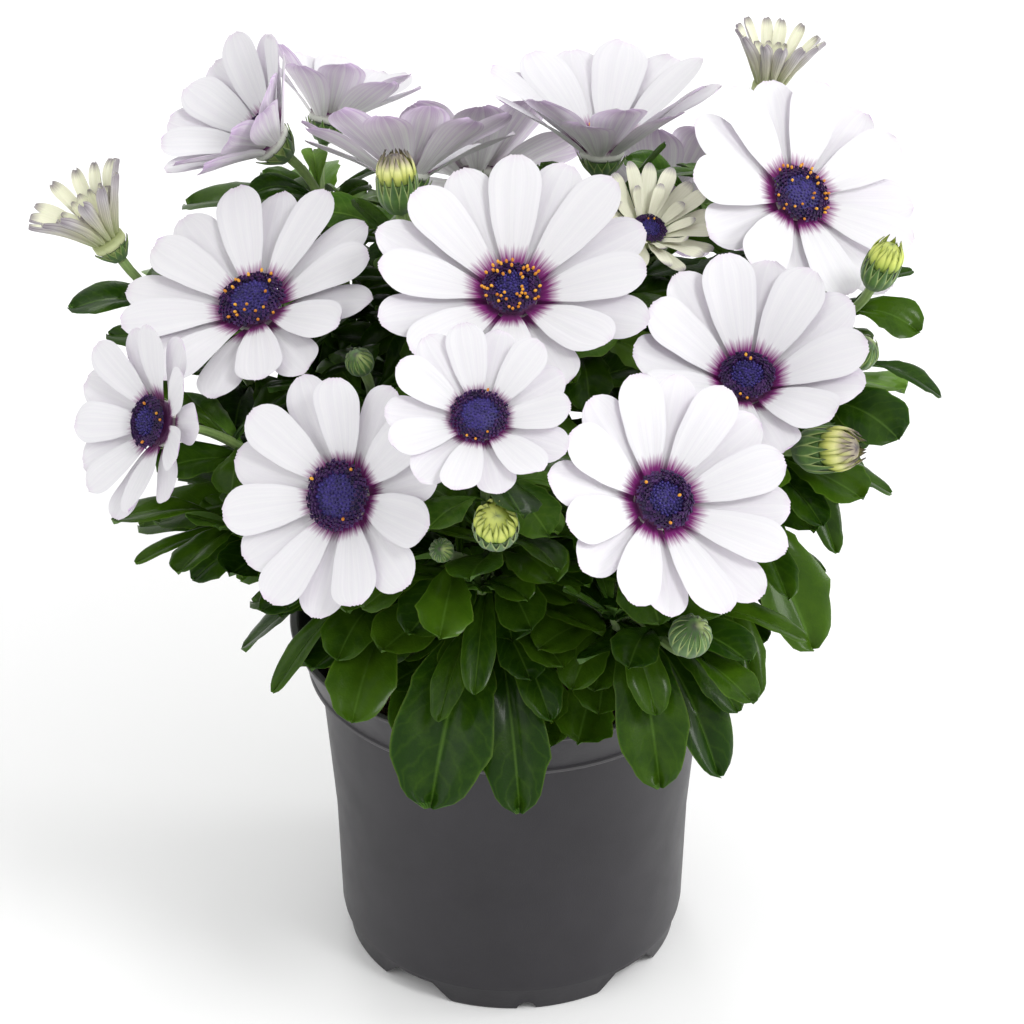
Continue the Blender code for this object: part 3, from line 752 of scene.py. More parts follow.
def pot_material():
    """Moulded anthracite plastic: fine grain, dust, light scuffs, and painted highlight lines along the edges
    of its band.
    """
    n = Nodes("anthracite plastic", 0.46)
    place = n.place()
    grain = n.noise(place, 2600.0, 2.0)
    dust = n.noise(place, 28.0, 6.0, 0.7)
    body = n.ramp(dust, ((0.35, (0.0175, 0.016, 0.0195)), (0.72, (0.024, 0.022, 0.0265))))
    speck = n.ramp(n.noise(place, 700.0, 4.0, 0.8), ((0.68, BLACK), (0.76, WHITE)))
    body = n.mix(n.times(speck, 0.16), body, (0.14, 0.135, 0.135))
    split = n.tree.nodes.new("ShaderNodeSeparateXYZ")
    n.link(place, split.inputs[0])
    # Pale lines painted at the band's edges by height: a painted highlight where these edges would catch the
    # lamps
    edges = [n.math("COMPARE", split.outputs["Z"], height, half) for height, half in PAINTED_HIGHLIGHT_EDGES]
    painted_highlight = n.math("ADD", *edges)
    n.colour(n.mix(n.times(painted_highlight, 0.6), body, (0.12, 0.115, 0.12)))
    rough = n.ramp(n.noise(place, 90.0, 5.0), ((0.3, (0.4,) * 3), (0.7, (0.48,) * 3)))
    n.link(rough, n.shader.inputs["Roughness"])
    n.bump(grain, 0.2, 0.0002)
    n.set(Specular_IOR_Level=0.36)
    return n.material


def soil_material():
    n = Nodes("potting soil", 0.95)
    place = n.place()
    lumps = n.noise(place, 260.0, 8.0, 0.75)
    browns = ((0.3, (0.022, 0.009, 0.006)), (0.55, (0.085, 0.034, 0.02)), (0.8, (0.2, 0.1, 0.06)))
    body = n.ramp(lumps, browns)
    fleck = n.ramp(n.noise(place, 900.0, 3.0), ((0.66, BLACK), (0.74, WHITE)))
    n.colour(n.mix(n.times(fleck, 0.4), body, (0.22, 0.13, 0.08)))
    n.bump(lumps, 0.9, 0.0012)
    return n.material


# Mesh building

class Patch:
    """Collects points and faces in millimetres, with blade coordinates and a tint, for one piece."""

    def __init__(self):
        self.points, self.faces, self.places, self.tints, self.slots = [], [], [], [], []

    def add(self, points, faces, places, tint, slot=0):
        start = len(self.points)
        self.points += points
        self.places += places
        self.tints += [tint] * len(points)
        self.faces += [tuple(start + corner for corner in face) for face in faces]
        self.slots += [slot] * len(faces) if isinstance(slot, int) else slot

    def piece(self, name, materials, node, angle=60):
        """The finished object, riding on the plant and standing for its node."""
        mesh = bpy.data.meshes.new(name)
        mesh.from_pydata([point * MM for point in self.points], [], self.faces)
        mesh.polygons.foreach_set("material_index", self.slots)
        layer = mesh.uv_layers.new(name="blade")
        for loop in mesh.loops:
            layer.data[loop.index].uv = self.places[loop.vertex_index]
        tint = mesh.attributes.new("tint", "FLOAT", "POINT")
        tint.data.foreach_set("value", self.tints)
        mesh.validate()
        mesh.shade_smooth()
        mesh.set_sharp_from_angle(angle=math.radians(angle))
        for material in materials:
            mesh.materials.append(material)
        made = put(name, mesh)
        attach(made, "root")
        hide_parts(node)
        return made


def grid_faces(rows, columns, start=0, flip=False):
    faces = []
    for i in range(rows - 1):
        for j in range(columns - 1):
            a = start + i * columns + j
            face = (a, a + 1, a + 1 + columns, a + columns)
            faces.append(face[::-1] if flip else face)
    return faces


def thin_blade(patch, surface, rows, columns, thick, tint, slots):
    """A blade from a function of (share, across): two faces that meet at the margin."""
    top, low, places = [], [], []
    for i in range(rows):
        share = i / (rows - 1)
        for j in range(columns):
            across = 2 * j / (columns - 1) - 1
            point, face = surface(share, across)
            edge = 1 - abs(across) ** 6 if 0 < i < rows - 1 else 0
            top.append(point + face * thick / 2 * edge)
            low.append(point - face * thick / 2 * edge)
            places.append((j / (columns - 1), share))
    count = rows * columns
    faces = grid_faces(rows, columns) + grid_faces(rows, columns, count, True)
    kinds = [slots[0]] * (len(faces) // 2) + [slots[1]] * (len(faces) // 2)
    patch.add(top + low, faces, places + places, tint, kinds)


def eased(table, share, reach=0.05):
    """A table's value with its corners rounded off."""
    shares = (share - reach, share - reach / 2, share, share + reach / 2, share + reach)
    return sum(between(table, min(1, max(0, s))) for s in shares) / 5


def lathe(patch, middle, axes, profile, sides, slot=0):
    """A body of rings round a middle, its axes given as x, y and z; profile is (height, radius)."""
    x, y, z = axes
    points, places = [], []
    for i, (height, radius) in enumerate(profile):
        for j in range(sides + 1):
            turn = math.tau * j / sides
            points.append(middle + z * height + x * radius * math.cos(turn) + y * radius * math.sin(turn))
            places.append((j / sides, i / (len(profile) - 1)))
    patch.add(points, grid_faces(len(profile), sides + 1), places, 0.5, slot)


def head_lathe(patch, head, levels, sides, slot, wide=1.0):
    """A body of rings about the way a head faces; levels is (height, radius) at full size."""
    turned = rotation(head)
    axes = (turned.col[0], turned.col[1], turned.col[2])
    profile = [(height * head.size, radius * head.size * wide) for height, radius in levels]
    lathe(patch, in_head(head, (0, 0, 0)), axes, profile, sides, slot)


def fine_tube(patch, line, radii, sides, slot, seed):
    """A round stem along a line, slightly uneven."""
    side = Vector((1, 0, 0))
    points, places = [], []
    for i, point in enumerate(line):
        before, after = line[max(0, i - 1)], line[min(len(line) - 1, i + 1)]
        along = (after - before).normalized()
        side = (side - along * side.dot(along)).normalized()
        up = along.cross(side)
        share = i / (len(line) - 1)
        radius = between(radii, share)
        for j in range(sides + 1):
            turn = math.tau * j / sides
            wide = radius * (1 + 0.07 * math.sin(5 * turn + seed) + 0.05 * math.sin(19 * share + seed))
            points.append(point + side * wide * math.cos(turn) + up * wide * math.sin(turn))
            places.append((j / sides, share))
    patch.add(points, grid_faces(len(line), sides + 1), places, 0.5, slot)


# Blooms

PETAL_ROWS, PETAL_COLUMNS = 19, 9
FINE_PETAL = ((0, 0.18), (0.2, 0.5), (0.45, 0.84), (0.7, 1), (0.88, 1.02), (1, 0.98))
PETAL_THICK = 0.34

# The ring under a bloom's petals, and the dome of its disc: height and radius
RING_LEVELS = ((-2, 0.1), (-2, 6.2), (-1.2, 6.6), (1.6, 6.5), (2.1, 5.6), (2.1, 0.1))
DOME_LEVELS = ((2.5, 0.1), (2.5, 4.6), (3.6, 7.2), (4.3, 7.2), (5.2, 5.0), (5.8, 2.6), (6.0, 0.1))


def fine_petal(patch, head, layer, index):
    """One petal: two folds along it, a curled margin and a faintly notched round tip."""
    rng = random.Random(f"{SEED} fine {head.name} {layer} {index}")
    shares = [i / (PETAL_ROWS - 1) * (1.4 - 0.4 * i / (PETAL_ROWS - 1)) for i in range(PETAL_ROWS)]
    rows = [petal_row(head, layer, index, share) for share in shares]
    half = petal_half(head)
    curl = rng.uniform(0.9, 1.3) if head.kind == "half" else rng.uniform(0.02, 0.14)
    wave, phase = rng.uniform(0.05, 0.4), rng.uniform(0, math.tau)
    lean = rng.uniform(-0.12, 0.12)
    sway = rng.uniform(-0.8, 0.8)
    nibble = rng.uniform(0.5, 1.0)

    def surface(share, across):
        middle, side, face = rows[round(share * (PETAL_ROWS - 1))]
        share = shares[round(share * (PETAL_ROWS - 1))]
        along = face.cross(side)
        wide = half * eased(FINE_PETAL, share, 0.04)
        folds = sum(math.exp(-((across - spot) / 0.16) ** 2) for spot in (-0.36, 0.36))
        lift = -0.45 * folds * max(0.0, math.sin(math.pi * min(1, share * 1.05))) ** 0.5 * (half / 6)
        lift += curl * wide * across * across * (1.3 - 0.7 * share)
        lift += wave * math.sin(7 * share + phase) * across + lean * wide * across * share
        tip = max(0, (share - 0.76) / 0.24)
        wide *= math.sqrt(1 - 0.93 * tip * tip)
        back = -tip ** 4 * half * 0.025 * nibble * (1 - math.cos(4 * math.pi * across))
        middle = middle + side * sway * share * share + face * 0.35 * math.sin(6 * share + 2 * phase) * share
        return middle + side * wide * across + face * lift + along * back, face

    thin_blade(patch, surface, PETAL_ROWS, PETAL_COLUMNS, PETAL_THICK, rng.random(), (0, 1))


def fine_petals(head, looks):
    """The petals of a bloom on their ring; a cream or half-open one has an inner row more."""
    patch = Patch()
    head_lathe(patch, head, RING_LEVELS, 28, 2)
    for layer in range(1 if head.kind == "half" else 2):
        for index in range(head.count):
            fine_petal(patch, head, layer, index)
    if head.kind != "open":
        inner = head._replace(cup=head.cup + 16, reach=head.reach * 0.72, name=head.name + " inner")
        for index in range(head.count):
            fine_petal(patch, inner, 0.4, index)
    kind = "white" if head.kind == "open" else "cream"
    materials = [looks[kind + " top"], looks[kind + " under"], looks[kind + " ring"]]
    node = f"bloom_{head.name}_petals"
    patch.piece(node + "_fine", materials, node, 70)


# How often a floret carries pollen: in some blooms, and in the others
POLLEN = {"01": 0.2, "02": 0.1, "08": 0.14, "16": 0.15, "17": 0.12}
LITTLE_POLLEN = 0.02

# Florets in a disc of full size, how far out they stand, and where the open ones begin
FLORETS = 230
FLORET_SIDES = 8
DISC_REACH = 8.1
OPEN_FROM = 5.0
SUNFLOWER = math.radians(137.508)


def floret(patch, spot, out, size, lobes, slot, tint):
    """A single floret: a pointed bud, or an open star where lobes is true."""
    x = out.orthogonal().normalized()
    y = out.cross(x)
    rings = ((0, 0.42, 0.42), (0.7, 0.6, 0.6), (1.25, 0.36, 0.36), (1.45, 0.05, 0.05))
    if lobes:
        rings = ((0, 0.36, 0.36), (1.1, 0.42, 0.42), (1.7, 1.0, 0.42), (1.5, 0.3, 0.24), (1.4, 0.03, 0.03))
    points, places = [], []
    sides = FLORET_SIDES
    for i, (height, even, odd) in enumerate(rings):
        for j in range(sides + 1):
            turn = math.tau * j / sides
            radius = (even if j % 2 == 0 else odd) * size
            foot = spot + out * height * size
            points.append(foot + x * radius * math.cos(turn) + y * radius * math.sin(turn))
            places.append((j / sides, i / (len(rings) - 1)))
    patch.add(points, grid_faces(len(rings), sides + 1), places, tint, slot)


def fine_disc(head, looks):
    """A dome with florets in a spiral: blue-violet buds within, dark open ones and pollen outside."""
    rng = random.Random(f"{SEED} disc {head.name}")
    patch = Patch()
    turned = rotation(head)
    size = head.size
    wide = 1.0 if head.cup <= 25 else 0.82
    head_lathe(patch, head, DOME_LEVELS, 24, 0, wide)
    count = int(FLORETS * (0.55 + 0.45 * size))
    for number in range(count):
        reach = DISC_REACH * wide * math.sqrt((number + 0.5) / count)
        turn = number * SUNFLOWER
        height = 5.5 - 0.028 * reach * reach
        out_local = Vector((math.cos(turn) * reach * 0.14, math.sin(turn) * reach * 0.14, 1)).normalized()
        local = Vector((math.cos(turn) * reach, math.sin(turn) * reach, height))
        outer = reach > OPEN_FROM * wide
        scale = size * rng.uniform(0.7, 0.95) * (0.95 if outer else 0.8)
        floret(patch, in_head(head, local * size), turned @ out_local, scale, outer, int(outer), rng.random())
        if reach > 2.2 and rng.random() < POLLEN.get(head.name, LITTLE_POLLEN):
            top = local + out_local * rng.uniform(1.2, 1.7)
            floret(patch, in_head(head, top * size), turned @ out_local, 0.72 * size, False, 2, rng.random())
    materials = [looks["floret blue"], looks["floret dark"], looks["pollen"]]
    patch.piece(f"bloom_{head.name}_disc_fine", materials, f"bloom_{head.name}_disc", 50)


STRIP_ROWS, STRIP_COLUMNS, STRIP_THICK = 13, 5, 0.25


def strip(patch, head, turn, low, high, radii, half, slot):
    """A pointed strip along a body; radii is (share, radius) from its foot at low to its tip at high."""
    turned = rotation(head)

    def surface(share, across):
        radius = eased(radii, share, 0.08)
        wide = half * (1 - share ** 2.4) * (0.75 + 0.35 * math.sin(math.pi * min(1, share * 1.3)))
        angle = turn + wide * across / max(radius, 1)
        radial = level(angle)
        height = low + (high - low) * share
        face = turned @ (radial * 0.95 + Vector((0, 0, 0.3)))
        spot = radial * (radius + 0.25 * (1 - across * across)) + Vector((0, 0, height))
        return in_head(head, spot * head.size), face

    thin_blade(patch, surface, STRIP_ROWS, STRIP_COLUMNS, STRIP_THICK, (turn * 7) % 1, (slot, slot))


# The coloured buds that are still yellow-green at their tips
GREENISH_BUDS = ("19", "21")

# The rolled petals of a bud, and the core they lie on: height and radius
ROLLED = 20
CORE_LEVELS = ((2, 4.6), (3.4, 5.2), (6, 5.0), (8, 4.2), (9.4, 3.0), (10.2, 1.6), (10.4, 0.05))


def rolled_petals(head, looks):
    """The petals of an opening bud, rolled round each other, their tips free."""
    patch = Patch()
    head_lathe(patch, head, CORE_LEVELS, 40, 0)
    for number in range(ROLLED):
        row = number % 2
        rng = random.Random(f"{SEED} roll {head.name} {number}")
        turn = math.tau * number / ROLLED + rng.uniform(-0.08, 0.08)
        end = 3.4 - row + rng.uniform(-0.4, 0.4)
        radii = ((0, 5.3 - 0.3 * row), (0.3, 5.9 - 0.4 * row), (0.65, 5.3 - 0.6 * row), (1, end))
        strip(patch, head, turn, 1.9, rng.uniform(10.4, 12.0), radii, 1.55, 0)
    look = looks["bud green" if head.name in GREENISH_BUDS else "bud cream"]
    patch.piece(f"bud_{head.name}_fine", [look], f"bud_{head.name}_petals", 70)


# Stems and leaves

LEAF_ROWS, LEAF_COLUMNS, LEAF_THICK = 29, 11, 0.5
SMALL_ROWS, SMALL_COLUMNS = 17, 7
EXTRA_FROM = 1000
FINE_LEAF = ((0, 0.14), (0.18, 0.15), (0.34, 0.46), (0.52, 0.84), (0.68, 1.04), (0.82, 1.14), (1, 1.2))
TIP_LEAVES = 8
TUBE_SIDES = 12

# How far the filling leaves keep from everything else, how many are tried for a point of a stem,
# and the way in front of a shoot tip that they leave open
FILL_CLEARANCE = 1.7
FILL_SHARE = 0.75
OPEN_WAY = Vector((0, -0.84, 0.54))

# Green cups and closed buds: the number of bracts, and height and radius of the body
BRACTS = 14
CUP_FOOT = ((-9.5, 1.25), (-8.4, 1.9), (-7.2, 3.2), (-6, 4.3))
BLOOM_CUP = CUP_FOOT + ((-4.4, 5.2), (-2.5, 5.6), (-2.45, 0.1))
BUD_CUP = CUP_FOOT + ((-4, 5.4), (-1.5, 5.9), (1.6, 5.6), (1.65, 0.1))
CLOSED_BUD = (
    (-9.5, 1.25), (-8, 2.2), (-6, 4.2), (-3.5, 5.5), (-1, 5.7), (1.5, 5.0), (3.2, 3.6), (4.2, 1.8),
    (4.5, 0.1),
)


def fine_leaf(patch, leaf, number, slots=(1, 2), steps=LEAF_ROWS, columns=LEAF_COLUMNS):
    """One leaf: folded along its midrib, toothed and gently waved."""
    rng = random.Random(f"{SEED} leaf {number}")
    shares = [i / (steps - 1) * (1.35 - 0.35 * i / (steps - 1)) for i in range(steps)]
    rows = [leaf_row(leaf, share) for share in shares]
    big = leaf["half"] >= 5
    teeth = rng.choice((2, 3)) if big else rng.choice((1, 2, 2))
    depth = rng.uniform(0.08, 0.2)
    phases = (rng.uniform(0, 0.5), rng.uniform(0, 0.5))
    wave, phase = rng.uniform(0.04, 0.12), rng.uniform(0, math.tau)

    def tooth(share, phase_at):
        if not 0.36 < share < 0.93:
            return 1.0
        step = ((share - 0.36) / 0.57 * teeth + phase_at) % 1
        return 1 + depth * (step ** 1.5 if step < 0.78 else ((1 - step) / 0.22) ** 0.7) - depth * 0.45

    def surface(share, across):
        middle, side, face = rows[round(share * (steps - 1))]
        share = shares[round(share * (steps - 1))]
        tip = max(0, (share - 0.74) / 0.26)
        wide = leaf["half"] * eased(FINE_LEAF, share, 0.05) * math.sqrt(1 - 0.99 * tip * tip)
        wide = max(wide, 0.5) * (tooth(share, phases[across > 0]) if abs(across) > 0.4 else 1)
        lift = leaf["half"] * (0.34 * abs(across) - 0.16 * across ** 4 - 0.12) * min(1, 4 * share)
        lift += leaf["half"] * wave * math.sin(9 * share + phase + across) * abs(across)
        lift -= 0.35 * math.exp(-(across / 0.08) ** 2)
        return middle + side * wide * across + face * lift, face

    thin_blade(patch, surface, steps, columns, LEAF_THICK, rng.random(), slots)


def fine_cup(patch, head):
    """The green cup under a bloom or a bud: a round base and a row of pointed bracts."""
    bud = head.kind == "bud"
    head_lathe(patch, head, BUD_CUP if bud else BLOOM_CUP, 24, 3)
    for number in range(BRACTS):
        turn, row = math.tau * number / BRACTS, number % 2
        if bud:
            radii = ((0, 3.0), (0.25, 5.6), (0.55, 6.3), (1, 6.0))
            strip(patch, head, turn, -8.0, 5.4 - 1.4 * row, radii, 1.75, 3)
        else:
            strip(patch, head, turn, -8.0, -0.8 - 0.8 * row, ((0, 2.8), (0.5, 5.6), (1, 7.4)), 1.5, 3)


def fine_green_bud(patch, head):
    """A closed bud wrapped in bracts."""
    head_lathe(patch, head, CLOSED_BUD, 24, 3)
    for number in range(BRACTS):
        turn, row = math.tau * number / BRACTS, number % 2
        radii = ((0, 3.0), (0.3, 5.6), (0.6, 5.9), (0.85, 4.4), (1, 2.6 - row))
        strip(patch, head, turn, -8.0, 4.4 + 0.8 * row, radii, 1.7, 3)


def fine_stem(stem, leaves, looks, extra):
    """A stem with its stalks, leaves, cups and green buds."""
    patch = Patch()
    lines = [stem_path(stem, tuple(i / 12 for i in range(13)))]
    lines += [stalk_path(head, 16) for head in HEADS if head.stem == stem]
    lines += [shoot_path(name, tip, 8) for name, tip in SHOOTS if name == stem]
    for number, line in enumerate(lines):
        radii = ((0, STEM_R), (1, 1.7)) if number == 0 else ((0, 1.6), (0.3, STALK_R), (1, STALK_R))
        fine_tube(patch, line, radii, TUBE_SIDES, 0, number)
    for head in HEADS:
        if head.stem == stem:
            (fine_green_bud if head.kind == "green" else fine_cup)(patch, head)
    for number, leaf in enumerate(leaves):
        if leaf["stem"] == stem:
            fine_leaf(patch, leaf, number)
    for number, leaf in enumerate(extra):
        if leaf["stem"] == stem:
            slots = (4, 2) if leaf["young"] else (1, 2)
            fine_leaf(patch, leaf, EXTRA_FROM + number, slots, SMALL_ROWS, SMALL_COLUMNS)
    materials = [looks["stem"], looks["leaf top"], looks["leaf under"], looks["bract"], looks["leaf young"]]
    patch.piece(f"stem_{stem}_fine", materials, f"stem_{stem}", 60)


def tip_leaves():
    """Young leaves at the shoot tips."""
    found = []
    for stem, tip in SHOOTS:
        for number in range(TIP_LEAVES):
            rng = random.Random(f"{SEED} tip {stem} {tip[0]} {number}")
            turn = number * GOLDEN
            length = rng.uniform(10, 18)
            base = Vector(tip) - Vector((0, 0, 2))
            out = level(turn) * length * rng.uniform(0.6, 0.95)
            end = base + out + Vector((0, 0, length * rng.uniform(0.2, 0.7)))
            found.append(make_leaf(stem, base, end, length * 0.19, 1.0, rng.uniform(-0.4, 0.4)))
            found[-1]["young"] = number > 3
    return found


def filling_leaves(leaves):
    """The leaves that fill the plant under its blooms, each clear of petals, stems and other leaves."""
    room = Room(FILL_CLEARANCE)
    for head in HEADS:
        room.add(head.stem + " head", head_points(head))
    for stem in STEMS:
        for line in paths_of(stem):
            room.add(stem, line_points(line))
    for leaf in leaves:
        room.add(leaf["stem"], leaf_points(leaf))
    for stem, tip in SHOOTS:
        room.add("open", [Vector(tip) + OPEN_WAY * far for far in range(4, 30, 2)])
    tries = [(turn, lift, size) for size in (1, 0.85, 0.7)
             for turn in (0, 18, -18, 36, -36) for lift in (0, -7, 7)]
    found = []
    for stem in STEMS:
        for place, line in enumerate(paths_of(stem)):
            spots = line_points(line)
            for number in range(int(len(spots) * FILL_SHARE)):
                rng = random.Random(f"{SEED} fill {stem} {place} {number}")
                share = (number + rng.random()) / (len(spots) * FILL_SHARE) * (0.8 if place else 1)
                base = spots[min(len(spots) - 1, int(share * len(spots)))]
                if base.z < SOIL_TOP + 8:
                    continue
                turn = number * GOLDEN + place
                length = rng.uniform(24, 38) - max(0, base.z - 140) * 0.16
                out = level(turn) * length
                rise = rng.uniform(-6, 14) - max(0, 130 - base.z) * 0.25
                half = length * rng.uniform(0.19, 0.26)
                arch, roll = rng.uniform(2, 6), rng.uniform(-0.5, 0.5)
                tip = base + out + Vector((0, 0, rise))
                leaf = tried_leaf(room, stem, base, tip, half, arch, roll, tries)
                if leaf:
                    leaf["young"] = base.z > 165 and rng.random() < 0.35
                    found.append(leaf)
    return found


# Pot and soil

# Radius and height: up the outside of the pot, over its rim and down to its floor, then underneath
POT_PROFILE = (
    (44.2, 0.0), (44.8, 0.25), (45.1, 0.9), (46.0, 6.9), (46.3, 7.3), (46.9, 7.7), (47.2, 9.5), (48.3, 40.5),
    (52.1, 84.4), (52.2, 85.2), (52.6, 85.5), (54.3, 85.6), (55.1, 85.85), (55.4, 86.2), (55.35, 86.6),
    (54.9, 87.3), (59.4, 98.7), (59.9, 99.2), (60.0, 99.6), (59.7, 99.95), (59.2, 100.0), (58.2, 100.0),
    (57.8, 99.7), (57.3, 98.6), (52.8, 87.6), (50.7, 84.6), (46.7, 40.5), (45.2, 8.2), (0.2, 8.2),
)
UNDER_PROFILE = (
    (0.2, 0.0), (7.7, 0.0), (8.2, 0.4), (8.6, 4.0), (38.4, 4.0), (38.9, 0.4), (39.4, 0.0), (44.2, 0.0))
POT_SIDES = 144
POT_CREASE = 35
SLOT_FROM, SLOT_TO = 34, 50


def fine_pot(looks):
    """The pot with rounded edges, its feet and the hollow under its floor."""
    patch = Patch()
    axes = (Vector((1, 0, 0)), Vector((0, 1, 0)), UP)
    for profile in (POT_PROFILE, UNDER_PROFILE):
        lathe(patch, Vector((0, 0, 0)), axes, [(height, radius) for radius, height in profile], POT_SIDES)
    body = patch.piece("pot_fine", [looks["pot"]], "pot", POT_CREASE)
    weld(body)
    for turn in GAPS_AT:
        cut_slot(body, ((-12.5, -1), (12.5, -1), (6, GAP_H), (-6, GAP_H)), turn)
    arch = [(NOTCH_R * math.cos(i * math.pi / 8), NOTCH_R * math.sin(i * math.pi / 8)) for i in range(9)]
    for turn in NOTCHES_AT:
        cut_slot(body, [(NOTCH_R, -1)] + arch + [(-NOTCH_R, -1)], turn)
    body.data.set_sharp_from_angle(angle=math.radians(POT_CREASE))


def weld(body):
    """Joins the rings into one closed skin."""
    work = bmesh.new()
    work.from_mesh(body.data)
    bmesh.ops.remove_doubles(work, verts=work.verts, dist=1e-6)
    bmesh.ops.holes_fill(work, edges=work.edges, sides=200)
    bmesh.ops.recalc_face_normals(work, faces=work.faces)
    work.to_mesh(body.data)
    work.free()


def cut_slot(body, outline, turn):
    """Cuts a straight slot through the foot of the pot; the outline is (across, height)."""
    turned = Matrix.Rotation(math.radians(turn), 3, "Z")
    points = [turned @ Vector((far, across, height)) * MM
              for far in (SLOT_FROM, SLOT_TO) for across, height in outline]
    count = len(outline)
    faces = [tuple(range(count)), tuple(range(count, 2 * count))]
    faces += [(i, (i + 1) % count, (i + 1) % count + count, i + count) for i in range(count)]
    mesh = bpy.data.meshes.new("cutter")
    mesh.from_pydata(points, [], faces)
    work = bmesh.new()
    work.from_mesh(mesh)
    bmesh.ops.recalc_face_normals(work, faces=work.faces)
    work.to_mesh(mesh)
    work.free()
    cutter = put("cutter", mesh)
    less = body.modifiers.new("cut", "BOOLEAN")
    less.operation = "DIFFERENCE"
    less.object = cutter
    less.solver = "EXACT"
    graph = bpy.context.evaluated_depsgraph_get()
    made = bpy.data.meshes.new_from_object(body.evaluated_get(graph))
    body.modifiers.clear()
    body.data = made
    bpy.data.objects.remove(cutter)


SOIL_RINGS, SOIL_SIDES = 44, 132
CRUMBS, FIBRES = 520, 70


def fine_soil(looks):
    """Rough soil: a lumpy surface with crumbs and fibres on it."""
    patch = Patch()
    rng = random.Random(f"{SEED} crumbs")
    rings, sides = SOIL_RINGS, SOIL_SIDES
    points, places = [], []
    for i in range(rings):
        radius = 50.2 * (i / (rings - 1)) ** 0.8 + 0.05
        for j in range(sides + 1):
            turn = math.tau * (j % sides) / sides
            spot = Vector((radius * math.cos(turn), radius * math.sin(turn), 0))
            rough = noise.fractal(spot * 0.09, 0.8, 2.1, 5) * 1.7 + noise.noise(spot * 0.7) * 0.5
            height = SOIL_TOP + 0.2 + rough
            points.append(Vector((spot.x, spot.y, height)))
            places.append((j / sides, i / rings))
    turns = [math.tau * j / sides for j in range(sides + 1)]
    low = [Vector((50.0 * math.cos(turn), 50.0 * math.sin(turn), 80)) for turn in turns]
    patch.add(points + low, grid_faces(rings + 1, sides + 1), places + [(0, 0)] * (sides + 1), 0.5)
    for _ in range(CRUMBS):
        radius, turn = 49 * math.sqrt(rng.random()), rng.uniform(0, math.tau)
        spot = Vector((radius * math.cos(turn), radius * math.sin(turn), SOIL_TOP + rng.uniform(0, 1.6)))
        crumb(patch, spot, rng.uniform(0.5, 1.9), rng)
    for _ in range(FIBRES):
        radius, turn = 47 * math.sqrt(rng.random()), rng.uniform(0, math.tau)
        spot = Vector((radius * math.cos(turn), radius * math.sin(turn), SOIL_TOP + rng.uniform(0.8, 2.2)))
        aim = rng.uniform(0, math.tau)
        way = Vector((math.cos(aim), math.sin(aim), rng.uniform(-0.15, 0.25))) * rng.uniform(3, 9)
        bend = Vector((rng.uniform(-1, 1), rng.uniform(-1, 1), rng.uniform(0, 1)))
        line = [spot + way * s + bend * math.sin(math.pi * s) for s in (0, 0.25, 0.5, 0.75, 1)]
        fine_tube(patch, line, ((0, 0.28), (1, 0.12)), 5, 0, 0)
    patch.piece("soil_fine", [looks["soil"]], "soil", 60)


def crumb(patch, spot, size, rng):
    """A small uneven lump."""
    rows, sides = 5, 7
    squash = rng.uniform(0.5, 1)
    points, places = [], []
    for i in range(rows):
        up = math.pi * i / (rows - 1)
        for j in range(sides + 1):
            turn = math.tau * (j % sides) / sides
            way = Vector((math.sin(up) * math.cos(turn), math.sin(up) * math.sin(turn), -math.cos(up)))
            wide = size * (1 + 0.45 * noise.noise(way * 1.7 + spot))
            points.append(spot + Vector((way.x * wide, way.y * wide * 0.8, way.z * wide * squash)))
            places.append((j / sides, i / rows))
    patch.add(points, grid_faces(rows, sides + 1), places, rng.random())


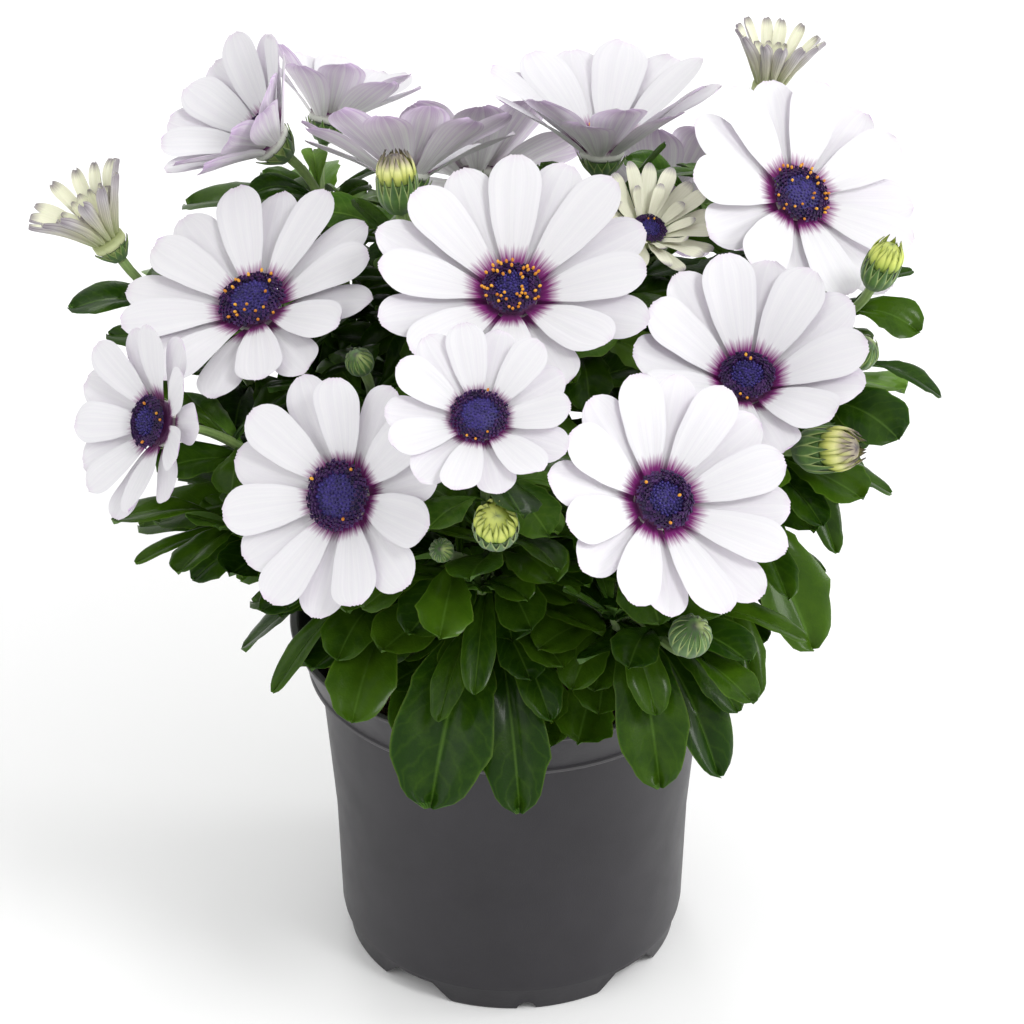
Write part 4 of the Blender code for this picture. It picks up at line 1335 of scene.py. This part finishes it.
def all_looks():
    """Every material, by the name it is asked for."""
    purple, white, pinkish = (0.23, 0.012, 0.18), (0.75, 0.742, 0.76), (0.72, 0.66, 0.73)
    lilac, dusk = (0.93, 0.87, 0.95), (0.68, 0.54, 0.74)
    cream, ash = (0.85, 0.85, 0.68), (0.3, 0.27, 0.3)
    return {
        "white top": petal_material(
            "petal white",
            ((0.0, (0.1, 0.01, 0.09)), (0.11, purple), (0.2, white), (0.9, white), (1.0, pinkish)),
            0.16, (0.9, 0.89, 0.93), 0.5, (1.0, 1.0, 1.0)),
        "white under": petal_material(
            "petal underside",
            ((0.0, (0.84, 0.86, 0.8)), (0.3, (0.97, 0.96, 0.97)), (0.72, lilac), (1.0, dusk)),
            0.5, (0.84, 0.75, 0.88), 1.0, (1.06, 1.06, 1.05)),
        "cream top": petal_material(
            "petal cream", ((0.0, (0.5, 0.55, 0.25)), (0.2, cream), (0.8, cream), (1.0, ash)),
            0.2, (0.85, 0.86, 0.75), 0.5, (1.0, 1.0, 1.0)),
        "cream under": petal_material(
            "petal cream underside",
            ((0.0, (0.4, 0.48, 0.18)), (0.3, (0.7, 0.7, 0.5)), (0.75, (0.62, 0.6, 0.6)), (1.0, ash)),
            0.3, (0.5, 0.47, 0.5), 1.0, (1.25, 1.25, 1.2)),
        "white ring": ring_material("petal ring", (0.6, 0.62, 0.55), (0.09, 0.012, 0.08)),
        "cream ring": ring_material("cream ring", (0.5, 0.55, 0.28), (0.3, 0.34, 0.14)),
        "floret blue": floret_material("floret blue", (0.01, 0.006, 0.06), (0.05, 0.032, 0.24)),
        "floret dark": floret_material("floret dark", (0.012, 0.003, 0.035), (0.06, 0.014, 0.11)),
        "pollen": floret_material("pollen", (0.6, 0.2, 0.01), (0.9, 0.45, 0.04)),
        "bud cream": bud_material(
            "bud cream", ((0.0, (0.2, 0.3, 0.05)), (0.3, (0.58, 0.62, 0.14)), (0.55, (0.74, 0.75, 0.3)),
                          (0.74, (0.36, 0.31, 0.22)), (0.95, (0.07, 0.05, 0.055))), (0.4, 0.46, 0.26)),
        "bud green": bud_material(
            "bud green", ((0.0, (0.12, 0.22, 0.03)), (0.3, (0.42, 0.52, 0.08)), (0.6, (0.6, 0.66, 0.14)),
                          (0.85, (0.46, 0.52, 0.12)), (1.0, (0.2, 0.24, 0.07))), (0.28, 0.36, 0.12)),
        "bract": bract_material(),
        "stem": stem_material(),
        "leaf top": leaf_material(
            "leaf top", (0.011, 0.036, 0.002), (0.044, 0.1, 0.004), (0.11, 0.19, 0.03), 0.3),
        "leaf under": leaf_material(
            "leaf underside", (0.045, 0.1, 0.018), (0.09, 0.17, 0.035), (0.16, 0.24, 0.07), 0.5),
        "leaf young": leaf_material(
            "leaf young", (0.05, 0.13, 0.012), (0.15, 0.29, 0.035), (0.28, 0.4, 0.09)),
        "pot": pot_material(),
        "soil": soil_material(),
    }


def main():
    camera()
    studio()
    looks = all_looks()
    leaves = placed_leaves()
    extra = tip_leaves() + filling_leaves(leaves)
    fine_pot(looks)
    fine_soil(looks)
    for stem in STEMS:
        fine_stem(stem, leaves, looks, extra)
    for head in HEADS:
        if head.kind in ("open", "cream", "half"):
            fine_petals(head, looks)
        if head.kind in ("open", "cream"):
            fine_disc(head, looks)
        if head.kind == "bud":
            rolled_petals(head, looks)


main()
